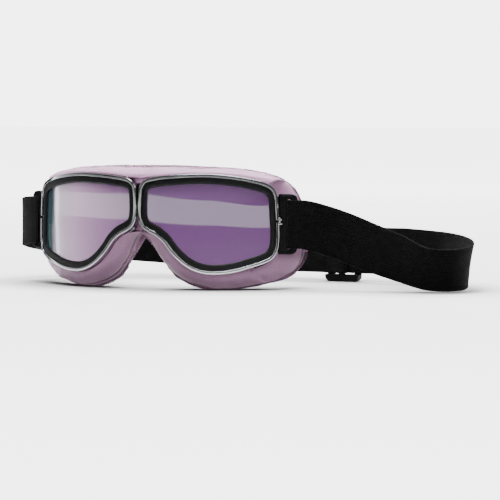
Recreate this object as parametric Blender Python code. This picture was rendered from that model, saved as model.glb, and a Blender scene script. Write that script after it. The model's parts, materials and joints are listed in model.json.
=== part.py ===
# Vintage riding goggles: two hinged metal rims with curved lenses on a padded mask, with a webbing strap.
# +X is the wearer's left, the lenses face -Y and +Z is up. Lengths are in metres, angles in degrees.

import math

import bmesh
import bpy
import numpy as np
from mathutils import Matrix, Vector

# Fit between pieces, and how far a cutter runs past what it cuts
gap = 0.0003
fine_gap = 0.00015
soft_gap = 0.0005
overrun = 0.002

# Lens opening: measured along the lens arc from the nose, and up from mid height
wrap_radius = 0.1236
opening_inner = 0.0058
opening_outer = 0.0832
opening_top = 0.0246
opening_bottom = 0.0251
opening_shares = (
    (0.010, 0.837), (0.048, 0.894), (0.145, 0.943), (0.326, 0.988), (0.526, 1.0), (0.713, 0.947),
    (0.855, 0.866), (0.950, 0.772), (0.984, 0.650), (0.992, 0.325), (1.0, -0.12), (1.0, -0.438),
    (0.979, -0.637), (0.930, -0.729), (0.829, -0.833), (0.687, -0.956), (0.545, -1.0), (0.442, -0.956),
    (0.346, -0.805), (0.258, -0.55), (0.191, -0.283), (0.114, -0.088), (0.044, 0.024), (0.009, 0.122),
    (0.0, 0.386), (0.003, 0.691),
)

# Lens and gasket
lens_thickness = 0.0020
channel_depth = 0.0018
gasket_side = 0.0033
gasket_top = 0.0042
gasket_rise = 0.0018
gasket_back = 0.0035
gasket_crown = 0.0007

# Rim: a metal strip with a lip on its front, split at the temple
rim_face = 0.0020
rim_wall = 0.0009
rim_rise = 0.0022
rim_back = 0.0035
rim_bevel = 0.0005
clamp_height = 0.0015
clamp_slit = 0.0017
ear_thickness = 0.0009
ear_reach = 0.0024
ear_front = 0.0011
ear_back = 0.0018
screw_diameter = 0.0011
screw_head_diameter = 0.0022
screw_head_height = 0.0007

# Back frame: a ring behind the rim, a flange over the leather and the strap bracket
frame_inset = 0.0012
frame_margin = 0.0005
frame_thickness = 0.0025
leather_thickness = 0.0012
flange_inset = 0.0028
flange_reach = 0.0016
flange_thickness = 0.0018
flange_above = 0.0188
flange_below = 0.0360
flange_blend = 0.0050
flange_margin = 0.0016
nose_relief = 0.0034
bracket_angle = 22.0
bracket_length = 0.0117
bracket_rail = 0.0030
bracket_thickness = 0.0028
bracket_corner = 0.0038
bracket_front = 0.0006
slot_clearance = 0.0007
slot_width = 0.0019
bar_width = 0.0044
bracket_notch = 0.0058

# Hinge at the nose
hinge_top = 0.0220
hinge_bottom = 0.0088
barrel_radius = 0.0015
pin_radius = 0.0006
leaf_thickness = 0.0009
leaf_reach = 0.0042

# Mask: from behind the rim out and back to the edge that meets the face
mask_join = 0.0130
mask_tuck = 0.0030
mask_puff = 0.0020
mask_wall = 0.0036
bridge_top = 0.0278
bridge_bottom = 0.0035
edge_half_width = 0.0900
edge_depth = 0.0537
edge_top = 0.0360
edge_bottom = 0.0410
edge_shares = (
    (0.000, 0.000, 0.262, 0.962), (0.110, 0.278, 0.317, 0.968), (0.230, 0.578, 0.507, 0.943),
    (0.300, 0.744, 0.660, 0.880), (0.342, 0.844, 0.770, 0.798), (0.378, 0.922, 0.875, 0.640),
    (0.415, 0.968, 0.950, 0.368), (0.472, 0.992, 0.990, 0.056), (0.515, 1.000, 1.000, -0.220),
    (0.552, 0.992, 0.990, -0.488), (0.586, 0.958, 0.940, -0.668), (0.626, 0.890, 0.850, -0.817),
    (0.676, 0.767, 0.690, -0.905), (0.724, 0.644, 0.560, -0.962), (0.777, 0.500, 0.440, -1.000),
    (0.825, 0.345, 0.345, -0.935), (0.873, 0.215, 0.295, -0.785), (0.920, 0.120, 0.245, -0.530),
    (0.962, 0.050, 0.190, -0.275), (1.000, 0.000, 0.155, -0.150),
)
foam_thickness = 0.0060
foam_inset = 0.0006
foam_clearance = 0.0008
ground_cut = 0.0005
web_depth = 0.0084
web_thickness = 0.0018
web_half_width = 0.0060
bridge_foam_half = 0.0080
bridge_foam_depth = 0.0040
stitch_radius = 0.0011
stitch_sink = 0.0007
outer_lift_share = 0.66
foam_front_share = 0.55

# How the goggles stand
lean = 1.2

# Strap and slider; the route goes from the left bracket round the loop end to the right bracket
strap_width = 0.0300
strap_thickness = 0.0012
strap_reach = 0.1000
strap_back = 0.1000
near_shares = (
    (0.075, 0.030, 0.975, 0.0), (0.258, 0.095, 0.825, 0.0), (0.448, 0.110, 0.650, 2.0),
    (0.634, 0.095, 0.505, 10.0), (0.798, 0.070, 0.373, 22.0), (0.920, 0.065, 0.346, 28.0),
    (0.992, 0.100, 0.352, 26.0), (1.030, 0.190, 0.377, 16.0), (1.008, 0.315, 0.405, 6.0),
    (0.952, 0.440, 0.425, 2.0), (0.868, 0.560, 0.445, 0.0), (0.770, 0.650, 0.462, 0.0),
    (0.675, 0.706, 0.475, 0.0),
)
far_shares = (
    (0.270, 0.825, 0.530), (-0.110, 0.810, 0.565), (-0.490, 0.750, 0.610), (-0.820, 0.640, 0.675),
    (-1.040, 0.480, 0.760), (-1.150, 0.300, 0.850), (-1.160, 0.160, 0.920), (-1.105, 0.060, 0.975),
)
tail_length = 0.0280
slider_along = 0.0240
slider_rail = 0.0047
slider_clearance = 0.0008
slider_bar = 0.0016
slider_side_bar = 0.0050
slider_center_bar = 0.0040
slider_corner = 0.0040
slider_travel = 0.0200
slider_place_share = (0.018, 0.780)
slider_turn = -5.0

# The slots take the strap's width, and the rails lie outside them
slot_height = strap_width + 2 * slot_clearance
bracket_height = slot_height + 2 * bracket_rail
slider_slot = strap_width + 2 * slider_clearance
slider_height = slider_slot + 2 * slider_rail

# How finely the round shapes are cut
ring_steps = 50
mask_steps = 32
lens_columns = 22
barrel_sides = 14
stitch_sides = 6
screw_sides = 12
nut_sides = 6
flange_steps = 16
corner_blur = 9
corner_steps = 5
wrap_steps = 3
strap_step = 0.0045
path_samples = 40
blur_samples = 18


# Curves

def spline(points, closed):
    """A smooth curve through the points, closely sampled."""
    p = np.array(points, float)
    if closed:
        p = np.vstack([p[-1:], p, p[:2]])
    else:
        p = np.vstack([2 * p[:1] - p[1:2], p, 2 * p[-1:] - p[-2:-1]])
    t = np.linspace(0, 1, path_samples, endpoint=False)[:, None]
    runs = []
    for a, b, c, d in zip(p, p[1:], p[2:], p[3:]):
        runs.append(
            0.5 * (2 * b + (c - a) * t + (2 * a - 5 * b + 4 * c - d) * t**2 + (3 * b - a - 3 * c + d) * t**3)
        )
    curve = np.vstack(runs)
    return curve if closed else np.vstack([curve, p[-2:-1]])


def lengths(p):
    return np.concatenate([[0], np.cumsum(np.linalg.norm(np.diff(p, axis=0), axis=1))])


def at(s, path_s, values):
    """Values along a path, read at the lengths s."""
    v = np.asarray(values, float)
    if v.ndim == 1:
        return np.interp(s, path_s, v)
    return np.stack([np.interp(s, path_s, v[:, k]) for k in range(v.shape[1])], axis=1)


def unit(v):
    v = np.asarray(v, float)
    return v / np.linalg.norm(v, axis=-1, keepdims=True)


def smooth(x):
    x = np.clip(x, 0, 1)
    return x * x * (3 - 2 * x)


def bezier(a, b, c, d, shares):
    t = np.array(shares)[:, None]
    return (1 - t) ** 3 * a + 3 * (1 - t) ** 2 * t * b + 3 * (1 - t) * t**2 * c + t**3 * d


# Places on the front: u runs along the lens arc, z goes up and w goes out of the front

def on_arc(u, z, w):
    turn = np.asarray(u, float) / wrap_radius
    r = wrap_radius + np.asarray(w, float)
    return np.stack(np.broadcast_arrays(r * np.sin(turn), wrap_radius - r * np.cos(turn), z), axis=-1)


def arc_frame(u, z, w):
    """Directions along the arc, up and outward at a place on the front, and the place."""
    turn = u / wrap_radius
    m = Matrix.Identity(4)
    m.col[0] = (math.cos(turn), math.sin(turn), 0, 0)
    m.col[1] = (0, 0, 1, 0)
    m.col[2] = (math.sin(turn), -math.cos(turn), 0, 0)
    m.col[3] = (*on_arc(u, z, w), 1)
    return m


def opening_outline():
    """The lens opening, its outward normals and the gasket's width, from the temple clamp up and round."""
    width = opening_outer - opening_inner
    points = [
        (opening_inner + a * width, b * (opening_top if b > 0 else opening_bottom)) for a, b in opening_shares
    ]
    p = spline(points, True)[::-1]
    right = p[:, 0] > opening_inner + width / 2
    start = np.argmin(np.where(right, np.abs(p[:, 1] - clamp_height), np.inf))
    p = np.roll(p, -start, axis=0)
    t = unit(np.roll(p, -1, axis=0) - np.roll(p, 1, axis=0))
    n = np.stack([t[:, 1], -t[:, 0]], axis=1)
    g = gasket_side + (gasket_top - gasket_side) * n[:, 1] ** 2
    return p, n, g


open_p, open_n, open_g = opening_outline()
rim_outer = open_p + open_n * (open_g + rim_face)[:, None]
around = lengths(np.vstack([open_p, open_p[:1]]))
total = around[-1]


def ring_places(count, start, end):
    """Lengths round the opening, closer together in the corners."""
    bend = np.linalg.norm(np.roll(open_n, -1, axis=0) - open_n, axis=1)
    even = np.ones(corner_blur) / corner_blur
    bend = np.convolve(np.tile(bend, 3), even, "same")[len(bend) : 2 * len(bend)]
    pace = np.diff(around) / total + bend / bend.sum()
    measure = np.concatenate([[0], np.cumsum(pace)])
    lo, hi = np.interp([start, end], around, measure)
    return np.interp(np.linspace(lo, hi, count), measure, around)


def ring_at(s):
    """Place, normal and gasket width at lengths round the opening."""
    s = np.asarray(s) % total
    wrap = lambda v: np.vstack([v, v[:1]])
    width = at(s, around, np.append(open_g, open_g[0]))
    return at(s, around, wrap(open_p)), unit(at(s, around, wrap(open_n))), width


# Objects

for old in list(bpy.data.objects):
    bpy.data.objects.remove(old)
scene = bpy.context.scene.collection


def empty(name, parent, place):
    e = bpy.data.objects.new(name, None)
    e.empty_display_size = rim_back
    e.parent = parent
    e.matrix_local = place
    scene.objects.link(e)
    return e


def material(name, color, roughness, metallic=0.0):
    m = bpy.data.materials.new(name)
    m.use_nodes = True
    m.diffuse_color = (*color, 1)
    shader = m.node_tree.nodes["Principled BSDF"]
    shader.inputs["Base Color"].default_value = (*color, 1)
    shader.inputs["Roughness"].default_value = roughness
    shader.inputs["Metallic"].default_value = metallic
    return m


chrome = material("chrome", (0.80, 0.80, 0.82), 0.08, 1.0)
rubber = material("rubber", (0.015, 0.015, 0.016), 0.45)
mirror_lens = material("mirror_lens", (0.42, 0.30, 0.52), 0.05, 0.8)
black_plastic = material("black_plastic", (0.012, 0.012, 0.013), 0.35)
leather = material("leather", (0.52, 0.36, 0.45), 0.50)
foam = material("foam", (0.03, 0.03, 0.03), 0.95)
thread = material("thread", (0.40, 0.26, 0.35), 0.80)
webbing = material("webbing", (0.012, 0.012, 0.012), 0.85)


def face_outward(bm):
    bmesh.ops.recalc_face_normals(bm, faces=bm.faces)
    if bm.calc_volume(signed=True) < 0:
        bmesh.ops.reverse_faces(bm, faces=bm.faces)


def add(name, verts, faces, look, parent, shift=None):
    """An object from points and faces, with its faces turned outward."""
    bm = bmesh.new()
    vs = [bm.verts.new(Vector(v) - (shift or Vector())) for v in np.asarray(verts, float)]
    for f in faces:
        bm.faces.new([vs[i] for i in f])
    face_outward(bm)
    mesh = bpy.data.meshes.new(name)
    bm.to_mesh(mesh)
    bm.free()
    if look:
        mesh.materials.append(look)
    o = bpy.data.objects.new(name, mesh)
    o.parent = parent
    scene.objects.link(o)
    return o


def sweep(sections, closed):
    """Points and faces of a skin through sections that have the same number of points."""
    s = np.asarray(sections, float)
    rows, cols = s.shape[:2]
    faces = []
    for i in range(rows if closed else rows - 1):
        j = (i + 1) % rows
        for k in range(cols):
            m = (k + 1) % cols
            faces.append((i * cols + k, i * cols + m, j * cols + m))
            faces.append((i * cols + k, j * cols + m, j * cols + k))
    if not closed:
        faces.append(tuple(range(cols)))
        faces.append(tuple(range((rows - 1) * cols, rows * cols)))
    return s.reshape(-1, 3), faces


def box(lo, hi, place=None):
    """Points and faces of a box, which a matrix may place."""
    pts = [(x, y, z) for x in (lo[0], hi[0]) for y in (lo[1], hi[1]) for z in (lo[2], hi[2])]
    if place is not None:
        pts = [tuple(place @ Vector(p)) for p in pts]
    faces = [(0, 1, 3, 2), (4, 6, 7, 5), (0, 4, 5, 1), (2, 3, 7, 6), (0, 2, 6, 4), (1, 5, 7, 3)]
    return np.array(pts), faces


def boolean(target, other, operation):
    m = target.modifiers.new(operation.lower(), "BOOLEAN")
    m.operation = operation
    m.solver = "EXACT"
    m.object = other
    other.hide_render = True
    other.display_type = "WIRE"


mirror_x = np.array([-1.0, 1.0, 1.0])


class Side:
    """Adds the same piece to the left half and, mirrored, to the right half that swings on the hinge."""

    def __init__(self, name, parent, shift, flip):
        self.name, self.parent, self.shift, self.flip = name, parent, shift, flip

    def add(self, name, shape, look=None):
        verts, faces = shape
        verts = verts * mirror_x if self.flip else verts
        return add(f"{self.name}_{name}", verts, faces, look, self.parent, self.shift)


# Front pieces, written for the left half

def ring_shape(profile, count=ring_steps):
    """A closed ring whose profile gives offset and rise for each normal, gasket width and length."""
    s = ring_places(count + 1, 0, total)[:-1]
    p, n, g = ring_at(s)
    sections = []
    for i in range(len(s)):
        off, w = np.array(profile(n[i], g[i], s[i])).T
        sections.append(on_arc(p[i, 0] + n[i, 0] * off, p[i, 1] + n[i, 1] * off, w))
    return sections


def gasket_profile(n, g, s):
    outer = g + rim_face - rim_wall - gap
    lip = rim_rise - rim_wall - gap
    back = -lens_thickness - gap
    return [
        (0, -gasket_back), (outer, -gasket_back), (outer, lip), (g - gap, lip),
        (g - gap, gasket_rise - gasket_crown), (g - gap - gasket_crown, gasket_rise),
        (gasket_crown * 2, gasket_rise - gasket_crown / 2), (0, gasket_crown),
        (0, gap), (channel_depth, gap), (channel_depth, back), (0, back),
    ]


def rim_profile(g):
    out = g + rim_face
    low = rim_rise - rim_wall
    return [
        (out, -rim_back), (out, rim_rise - rim_bevel), (out - rim_bevel, rim_rise),
        (g + rim_bevel / 2, rim_rise), (g, rim_rise - rim_bevel / 2), (g, low),
        (out - rim_wall, low), (out - rim_wall, -rim_back),
    ]


def rim_shape():
    half = clamp_slit / 2
    s = ring_places(ring_steps, half, total - half)
    p, n, g = ring_at(s)
    sections = []
    for i in range(len(s)):
        off, w = np.array(rim_profile(g[i])).T
        sections.append(on_arc(p[i, 0] + n[i, 0] * off, p[i, 1] + n[i, 1] * off, w))
    return sweep(sections, False)


clamp_u = open_p[0, 0] + open_g[0] + rim_face
clamp_z = open_p[0, 1]


def lens_shape():
    """Upright strips between the upper and lower edge of the lens, which follow the arc."""
    edge = open_p + open_n * (channel_depth - gap)
    lo, hi = np.argmin(edge[:, 0]), np.argmax(edge[:, 0])
    a, b = sorted((lo, hi))
    one, two = edge[a : b + 1], np.vstack([edge[b:], edge[: a + 1]])
    upper, lower = (one, two) if one[:, 1].mean() > two[:, 1].mean() else (two, one)
    mid, half = (edge[lo, 0] + edge[hi, 0]) / 2, (edge[hi, 0] - edge[lo, 0]) / 2 - fine_gap / 2
    u = mid - half * np.cos(np.linspace(0, math.pi, lens_columns))
    order = lambda c: c[np.argsort(c[:, 0])]
    top = np.interp(u, *order(upper).T)
    low = np.interp(u, *order(lower).T)
    sections = []
    for x, zt, zl in zip(u, top, low):
        z = np.array([zl, zt, zt, zl])
        sections.append(on_arc(x, z, np.array([0, 0, -lens_thickness, -lens_thickness])))
    return sweep(sections, False)


outer_around = lengths(np.vstack([rim_outer, rim_outer[:1]]))


def outer_run(first, last, count, profile):
    """An open strip along the rim's outer edge, from one length to another; both count from the clamp."""
    s = np.interp(np.linspace(first, last, count) % outer_around[-1], outer_around, around)
    p, n, g = ring_at(s)
    sections = []
    for i in range(count):
        off, w = np.array(profile).T
        off = off + g[i] + rim_face
        sections.append(on_arc(p[i, 0] + n[i, 0] * off, p[i, 1] + n[i, 1] * off, w))
    return sweep(sections, False)


frame_front = -gasket_back - gap - leather_thickness - gap
frame_back = frame_front - frame_thickness


def frame_ring():
    sections = ring_shape(
        lambda n, g, s: [
            (frame_inset, frame_front), (g + rim_face - frame_margin, frame_front),
            (g + rim_face - frame_margin, frame_back), (frame_inset, frame_back),
        ]
    )
    relief = np.array(sections)
    relief[..., 0] = np.maximum(relief[..., 0], nose_relief)
    return sweep(relief, True)


bracket_u = rim_outer[:, 0].max()


def bracket_place():
    """The strap bracket's own frame: outward along the plate, up, and out of its front."""
    a = math.radians(bracket_angle)
    clear = gap + bracket_thickness / 2 * abs(math.sin(bracket_u / wrap_radius - a))
    start = Vector(on_arc(bracket_u + clear, 0.0, -bracket_front - bracket_thickness / 2))
    m = Matrix.Identity(4)
    m.col[0] = (math.cos(a), math.sin(a), 0, 0)
    m.col[1] = (0, 0, 1, 0)
    m.col[2] = (math.sin(a), -math.cos(a), 0, 0)
    m.col[3] = (*start, 1)
    return m


bracket = bracket_place()
bar_start = bracket_length - bar_width


def rounded(lo, hi, half, corner, both):
    """An upright outline whose outer corners, or all four, are round, as places along and up."""
    out = []
    for x, z, first in ((hi, -half, -90), (hi, half, 0), (lo, half, 90), (lo, -half, 180)):
        inward = -1 if x == hi else 1
        if inward > 0 and not both:
            out.append((x, z))
            continue
        cz = z - math.copysign(corner, z)
        for k in range(corner_steps + 1):
            t = math.radians(first + 90 * k / corner_steps)
            out.append((x + inward * corner + corner * math.cos(t), cz + corner * math.sin(t)))
    return out


def plate(outline, low, high, place=None):
    """A flat plate with an upright outline, between two depths."""
    rings = [[(a, z, w) for a, z in outline] for w in (low, high)]
    if place is not None:
        rings = [[tuple(place @ Vector(p)) for p in ring] for ring in rings]
    return sweep(rings, False)


def bracket_plate():
    """The moulded loop that the strap goes round."""
    outline = rounded(0, bracket_length, bracket_height / 2, bracket_corner, False)
    return plate(outline, -bracket_thickness / 2, bracket_thickness / 2, bracket)


# The mask's inner path follows the rim's outer edge and bridges the nose above and below

def mask_path():
    """The path from the top of the nose round the temple to the nose arch, and where it leaves the rim."""
    by_nose = np.nonzero(rim_outer[:, 0] <= mask_join)[0]
    i_top, i_low = by_nose[0] - 1, by_nose[-1] + 1
    run = np.vstack([rim_outer[: i_top + 1][::-1], rim_outer[i_low:][::-1]])

    def link(a, b, slope):
        t = np.linspace(0, 1, path_samples)[:, None]
        reach = abs(b[0] - a[0])
        level = np.array([reach, 0])
        leaving = (2 * t**3 - 3 * t**2 + 1) * a + (t**3 - 2 * t**2 + t) * level
        return leaving + (3 * t**2 - 2 * t**3) * b + (t**3 - t**2) * slope * reach

    first = link(np.array([0, bridge_top]), run[0], unit(run[3] - run[0]))
    last = link(np.array([0, -bridge_bottom]), run[-1], unit(run[-4] - run[-1]))[::-1]
    path = np.vstack([first[:-1], run, last[1:]])
    return path, len(first) - 1, len(first) - 1 + i_top, len(first) + len(run) - 2


mask_p, top_index, clamp_index, low_index = mask_path()
mask_s = lengths(mask_p)
mask_t = unit(np.gradient(mask_p, axis=0))
mask_n = np.stack([-mask_t[:, 1], mask_t[:, 0]], axis=1)
for _ in range(2):
    even = np.ones(2 * blur_samples + 1) / (2 * blur_samples + 1)
    spread = [np.convolve(np.pad(mask_n[:, k], blur_samples, "edge"), even, "valid") for k in (0, 1)]
    mask_n = unit(np.stack(spread, axis=1))
mask_n[0], mask_n[-1] = (0, 1), (0, -1)
clamp_s, top_s, low_s = mask_s[clamp_index], mask_s[top_index], mask_s[low_index]

edge_table = np.array(edge_shares)
edge_size = np.where(edge_table[:, 3] > 0, edge_top, edge_bottom)
edge_columns = [
    edge_table[:, 1] * edge_half_width, edge_table[:, 2] * edge_depth, edge_table[:, 3] * edge_size,
    edge_table[:, 0],
]
edge_points = spline(np.stack(edge_columns, axis=1), False)
edge_points[:, 3] = np.maximum.accumulate(edge_points[:, 3])

outer_shares = (0.14, 0.30, 0.47, 0.65, 0.83)
inner_shares = (0.2, 0.4, 0.6, 0.8)


def mask_curves(s):
    """The mask's section at length s: foot behind the rim, outer curve, inner curve, wall's directions."""
    u, z = at([s], mask_s, mask_p)[0]
    n = unit(at([s], mask_s, mask_n))[0]
    d = s - clamp_s
    q = smooth((d + flange_above + flange_blend) / (flange_blend - flange_margin))
    q = float(q * smooth((flange_below + flange_blend - d) / (flange_blend - flange_margin)))
    mix = lambda a, b: a + (b - a) * q
    seat = -gasket_back - gap
    deep = seat - flange_thickness - 2 * gap
    on_nose = max(top_s - s, s - low_s) / flange_blend
    early = smooth((d + flange_above + 2 * flange_blend) / flange_blend)
    early = early * smooth((flange_below + 2 * flange_blend - d) / flange_blend)
    tuck = float(-mask_tuck + (mask_tuck + gap) * max(early, smooth(1 + on_nose)))
    start = mix(gap, rim_wall + gap)
    place = lambda off, w: on_arc(u + n[0] * off, z + n[1] * off, w)
    lip_front, lip_back = mix(seat, deep), mix(seat - leather_thickness, deep - leather_thickness)
    foot = [place(-gap / 2, lip_back), place(tuck, lip_back), place(tuck, lip_front), place(start, lip_front)]
    head = place(start, mix(-mask_puff, deep + gap))
    inner_start = place(-gap / 2, min(frame_back, lip_back - leather_thickness))
    edge = at([s / mask_s[-1]], edge_points[:, 3], edge_points[:, :3])[0]
    out = unit(place(overrun, 0) - place(0, 0))
    run = edge - head
    height = max(run @ out, 0)
    back = run - height * out
    lifted = head + out * height * outer_lift_share
    outer = bezier(head, lifted, edge - back / 2, edge, (0, *outer_shares, 1))
    along = edge - inner_start
    back_way = unit(along)
    wall_way = unit(out - (out @ back_way) * back_way)
    inner_edge = edge - wall_way * mask_wall
    leaving, arriving = inner_edge - along / 3, inner_start + along / 4
    inner = bezier(inner_edge, leaving, arriving, inner_start, (0, *inner_shares, 1))
    return foot, outer, inner, back_way, wall_way


def mask_section(s):
    return np.vstack(mask_curves(s)[:3])


def foam_section(s):
    inner, _, wall_way = mask_curves(s)[2:]
    way = unit(np.gradient(inner, axis=0))
    inward = unit((way @ wall_way)[:, None] * way - wall_way)
    skin = (inner + inward * foam_clearance)[:-1]
    skin[0] = skin[0] + way[0] * foam_inset
    taper = np.linspace(1, foam_front_share, len(skin))[:, None]
    return np.vstack([skin, (skin + inward[:-1] * foam_thickness * taper)[::-1]])


def stitch_section(s):
    outer, _, back_way, wall_way = mask_curves(s)[1:]
    middle = outer[-1] - wall_way * (mask_wall / 2 + stitch_sink) + back_way * (stitch_radius + soft_gap)
    turns = np.arange(stitch_sides) * 2 * math.pi / stitch_sides
    return middle + stitch_radius * (np.cos(turns)[:, None] * wall_way + np.sin(turns)[:, None] * back_way)


def mask_places():
    """Lengths along the mask's path, close where it bends, and one wherever its section changes."""
    bend = np.linalg.norm(np.diff(mask_n, axis=0), axis=1)
    measure = np.concatenate([[0], np.cumsum(np.diff(mask_s) / mask_s[-1] + bend / bend.sum())])
    even = np.interp(np.linspace(0, measure[-1], mask_steps), measure, mask_s)
    above, below = clamp_s - flange_above, clamp_s + flange_below
    stops = [0, top_s, top_s + flange_blend, low_s - flange_blend, low_s, mask_s[-1]]
    for edge, way in ((above, -1), (below, 1)):
        stops += [edge + way * flange_margin, edge + way * flange_blend, edge + way * 2 * flange_blend]
    apart = [s for s in even if min(abs(s - k) for k in stops) > flange_blend / 3]
    return np.sort(np.array(apart + stops))


places = mask_places()


def half_shape(section):
    """One side from the middle of the nose all the way round, before the bridge is cut off."""
    return sweep([section(s) for s in places], False)


def across_shape(section, first, last):
    """A strip that runs from one half to the other across the nose."""
    near = [section(s) for s in places[first:last]]
    far = [p * mirror_x for p in near]
    return sweep(far[:0:-1] + near if first == 0 else near + far[-2::-1], False)


# Hinge pieces: a leaf behind each rim, with round knuckles on one pin

hinge_y = gasket_back + barrel_radius
knuckle = (hinge_top - hinge_bottom - 2 * gap) / 3


def leaf_shape():
    """A plate and a barrel in one outline, extruded along the pin."""
    front, back = gasket_back + gap - hinge_y, gasket_back + gap + leaf_thickness - hinge_y
    a = math.atan2(back, math.sqrt(barrel_radius**2 - back**2))
    b = math.atan2(front, math.sqrt(barrel_radius**2 - front**2)) + 2 * math.pi
    outline = [(barrel_radius + leaf_reach, front), (barrel_radius + leaf_reach, back)]
    for t in np.linspace(a, b, barrel_sides):
        outline.append((barrel_radius * math.cos(t), barrel_radius * math.sin(t)))
    return sweep([[(x, y + hinge_y, z) for x, y in outline] for z in (hinge_bottom, hinge_top)], False)


def turned(steps, x, y, sides):
    """A solid turned about an upright axis, from pairs of height and radius."""
    a = np.arange(sides) * 2 * math.pi / sides
    return sweep([[(x + r * math.cos(t), y + r * math.sin(t), z) for t in a] for z, r in steps], False)


# The stand: everything hangs from one empty, and the front leans back on it

def front_place(lift):
    return Matrix.Translation((0, 0, lift)) @ Matrix.Rotation(math.radians(-lean), 4, "X")


mask_mesh = half_shape(mask_section)
stitch_mesh = half_shape(stitch_section)
lowest = min((front_place(0) @ Vector(p)).z for mesh in (mask_mesh, stitch_mesh) for p in mesh[0])
standing = front_place(-lowest - ground_cut)

stand = empty("stand", None, Matrix.Identity(4))
front = empty("front", stand, standing)
hinge_at = Vector((0, hinge_y, (hinge_top + hinge_bottom) / 2))
hinge = empty("hinge", front, Matrix.Translation(hinge_at))
left = Side("left", front, Vector(), False)
right = Side("right", hinge, hinge_at, True)


def cut_flat(o, place, outward):
    """Cuts off what lies beyond a plane and closes the cut."""
    bm = bmesh.new()
    bm.from_mesh(o.data)
    cut = bmesh.ops.bisect_plane(
        bm, geom=bm.verts[:] + bm.edges[:] + bm.faces[:], plane_co=place, plane_no=outward, clear_outer=True
    )
    edges = [e for e in cut["geom_cut"] if isinstance(e, bmesh.types.BMEdge)]
    bmesh.ops.holes_fill(bm, edges=edges, sides=0)
    face_outward(bm)
    bm.to_mesh(o.data)
    bm.free()


def cut_at_ground(o, shift):
    flat = (standing @ Matrix.Translation(shift)).inverted()
    cut_flat(o, flat @ Vector(), flat.to_3x3() @ Vector((0, 0, -1)))


def cut_at_nose(o, side, x):
    """Takes the bridge off a half."""
    way = 1 if side.flip else -1
    cut_flat(o, Vector((-way * x, 0, 0)) - side.shift, Vector((way, 0, 0)))


def cut_to_bridge(o, x):
    for way in (1, -1):
        cut_flat(o, Vector((way * x, 0, 0)), Vector((way, 0, 0)))


def build_rim(side):
    rim = side.add("rim", rim_shape(), chrome)
    axis = arc_frame(clamp_u, clamp_z, 0)
    half = clamp_slit / 2
    for sign, name in ((1, "upper_ear"), (-1, "lower_ear")):
        near, far = half - fine_gap / 3, half + ear_thickness
        lo, hi = sorted((sign * near, sign * far))
        ear = side.add(name, box((-rim_wall / 2, lo, -ear_back), (ear_reach, hi, ear_front), axis))
        boolean(rim, ear, "UNION")
    hole = screw_solid(screw_diameter / 2 + fine_gap, half + ear_thickness + overrun)
    boolean(rim, side.add("screw_hole", hole), "DIFFERENCE")


def screw_solid(radius, reach):
    c = arc_frame(clamp_u + ear_reach / 2, clamp_z, (ear_front - ear_back) / 2).translation
    return turned(((c.z - reach, radius), (c.z + reach, radius)), c.x, c.y, screw_sides)


def build_clamp(side):
    c = arc_frame(clamp_u + ear_reach / 2, clamp_z, (ear_front - ear_back) / 2).translation
    seat = clamp_slit / 2 + ear_thickness + fine_gap
    r, head = screw_diameter / 2, screw_head_diameter / 2
    top, end = seat + screw_head_height, seat + screw_head_height + fine_gap
    steps = ((-end, r), (seat, r), (seat, head), (top - fine_gap, head), (top, head - fine_gap))
    side.add("clamp_screw", turned([(c.z + h, x) for h, x in steps], c.x, c.y, screw_sides), chrome)
    nut = side.add("clamp_nut", turned(((c.z - top, head), (c.z - seat, head)), c.x, c.y, nut_sides), chrome)
    boolean(nut, side.add("nut_bore", screw_solid(r + fine_gap, top + overrun)), "DIFFERENCE")


def build_frame(side):
    frame = side.add("back_frame", frame_ring(), black_plastic)
    seat = -gasket_back - gap
    low = seat - flange_thickness
    profile = [(-flange_inset, seat), (flange_reach, seat), (flange_reach, low), (-flange_inset, low)]
    flange = side.add("flange", outer_run(-flange_below, flange_above, flange_steps, profile))
    axis = arc_frame(bracket_u, 0, 0)
    reach = flange_reach + gap
    half = bracket_height / 2 - bracket_corner / 2
    root = box((gap, -half, low + gap), (reach, half, -bracket_front - bracket_thickness / 2), axis)
    slot_low = (bar_start - slot_width, -slot_height / 2, -bracket_thickness)
    slot = box(slot_low, (bar_start, slot_height / 2, bracket_thickness), bracket)
    notch_low = (-overrun, -bracket_notch / 2, -ear_back - gap)
    notch_high = (ear_reach + gap, bracket_notch / 2, overrun * 2)
    notch = box(notch_low, notch_high, arc_frame(clamp_u, clamp_z, 0))
    boolean(frame, flange, "UNION")
    boolean(frame, side.add("bracket_root", root), "UNION")
    boolean(frame, side.add("bracket_plate", bracket_plate()), "UNION")
    boolean(frame, side.add("strap_slot", slot), "DIFFERENCE")
    boolean(frame, side.add("clamp_notch", notch), "DIFFERENCE")


def build_leaf(side, others):
    """One leaf of the hinge, cut away where the other leaf's knuckles turn."""
    leaf = side.add("hinge_leaf", leaf_shape(), chrome)
    clear = barrel_radius + gap
    for k, (lo, hi) in enumerate(others):
        room = box((-clear, hinge_y - clear, lo - gap), (clear, hinge_y + clear, hi + gap))
        boolean(leaf, side.add(f"knuckle_room_{k}", room), "DIFFERENCE")
    wide = pin_radius + fine_gap
    bore = turned(((hinge_bottom - overrun, wide), (hinge_top + overrun, wide)), 0, hinge_y, screw_sides)
    boolean(leaf, side.add("pin_bore", bore), "DIFFERENCE")


for side in (left, right):
    build_rim(side)
    build_clamp(side)
    side.add("gasket", sweep(ring_shape(gasket_profile), True), rubber)
    side.add("lens", lens_shape(), mirror_lens)
    build_frame(side)
    mask_half = side.add("mask", mask_mesh, leather)
    stitching = side.add("edge_stitching", stitch_mesh, thread)
    for o in (mask_half, stitching):
        cut_at_ground(o, side.shift)
        cut_at_nose(o, side, mask_join + gap / 2)
    foam_pad = side.add("foam_pad", half_shape(foam_section), foam)
    cut_at_nose(foam_pad, side, mask_join + gap / 2)

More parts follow.
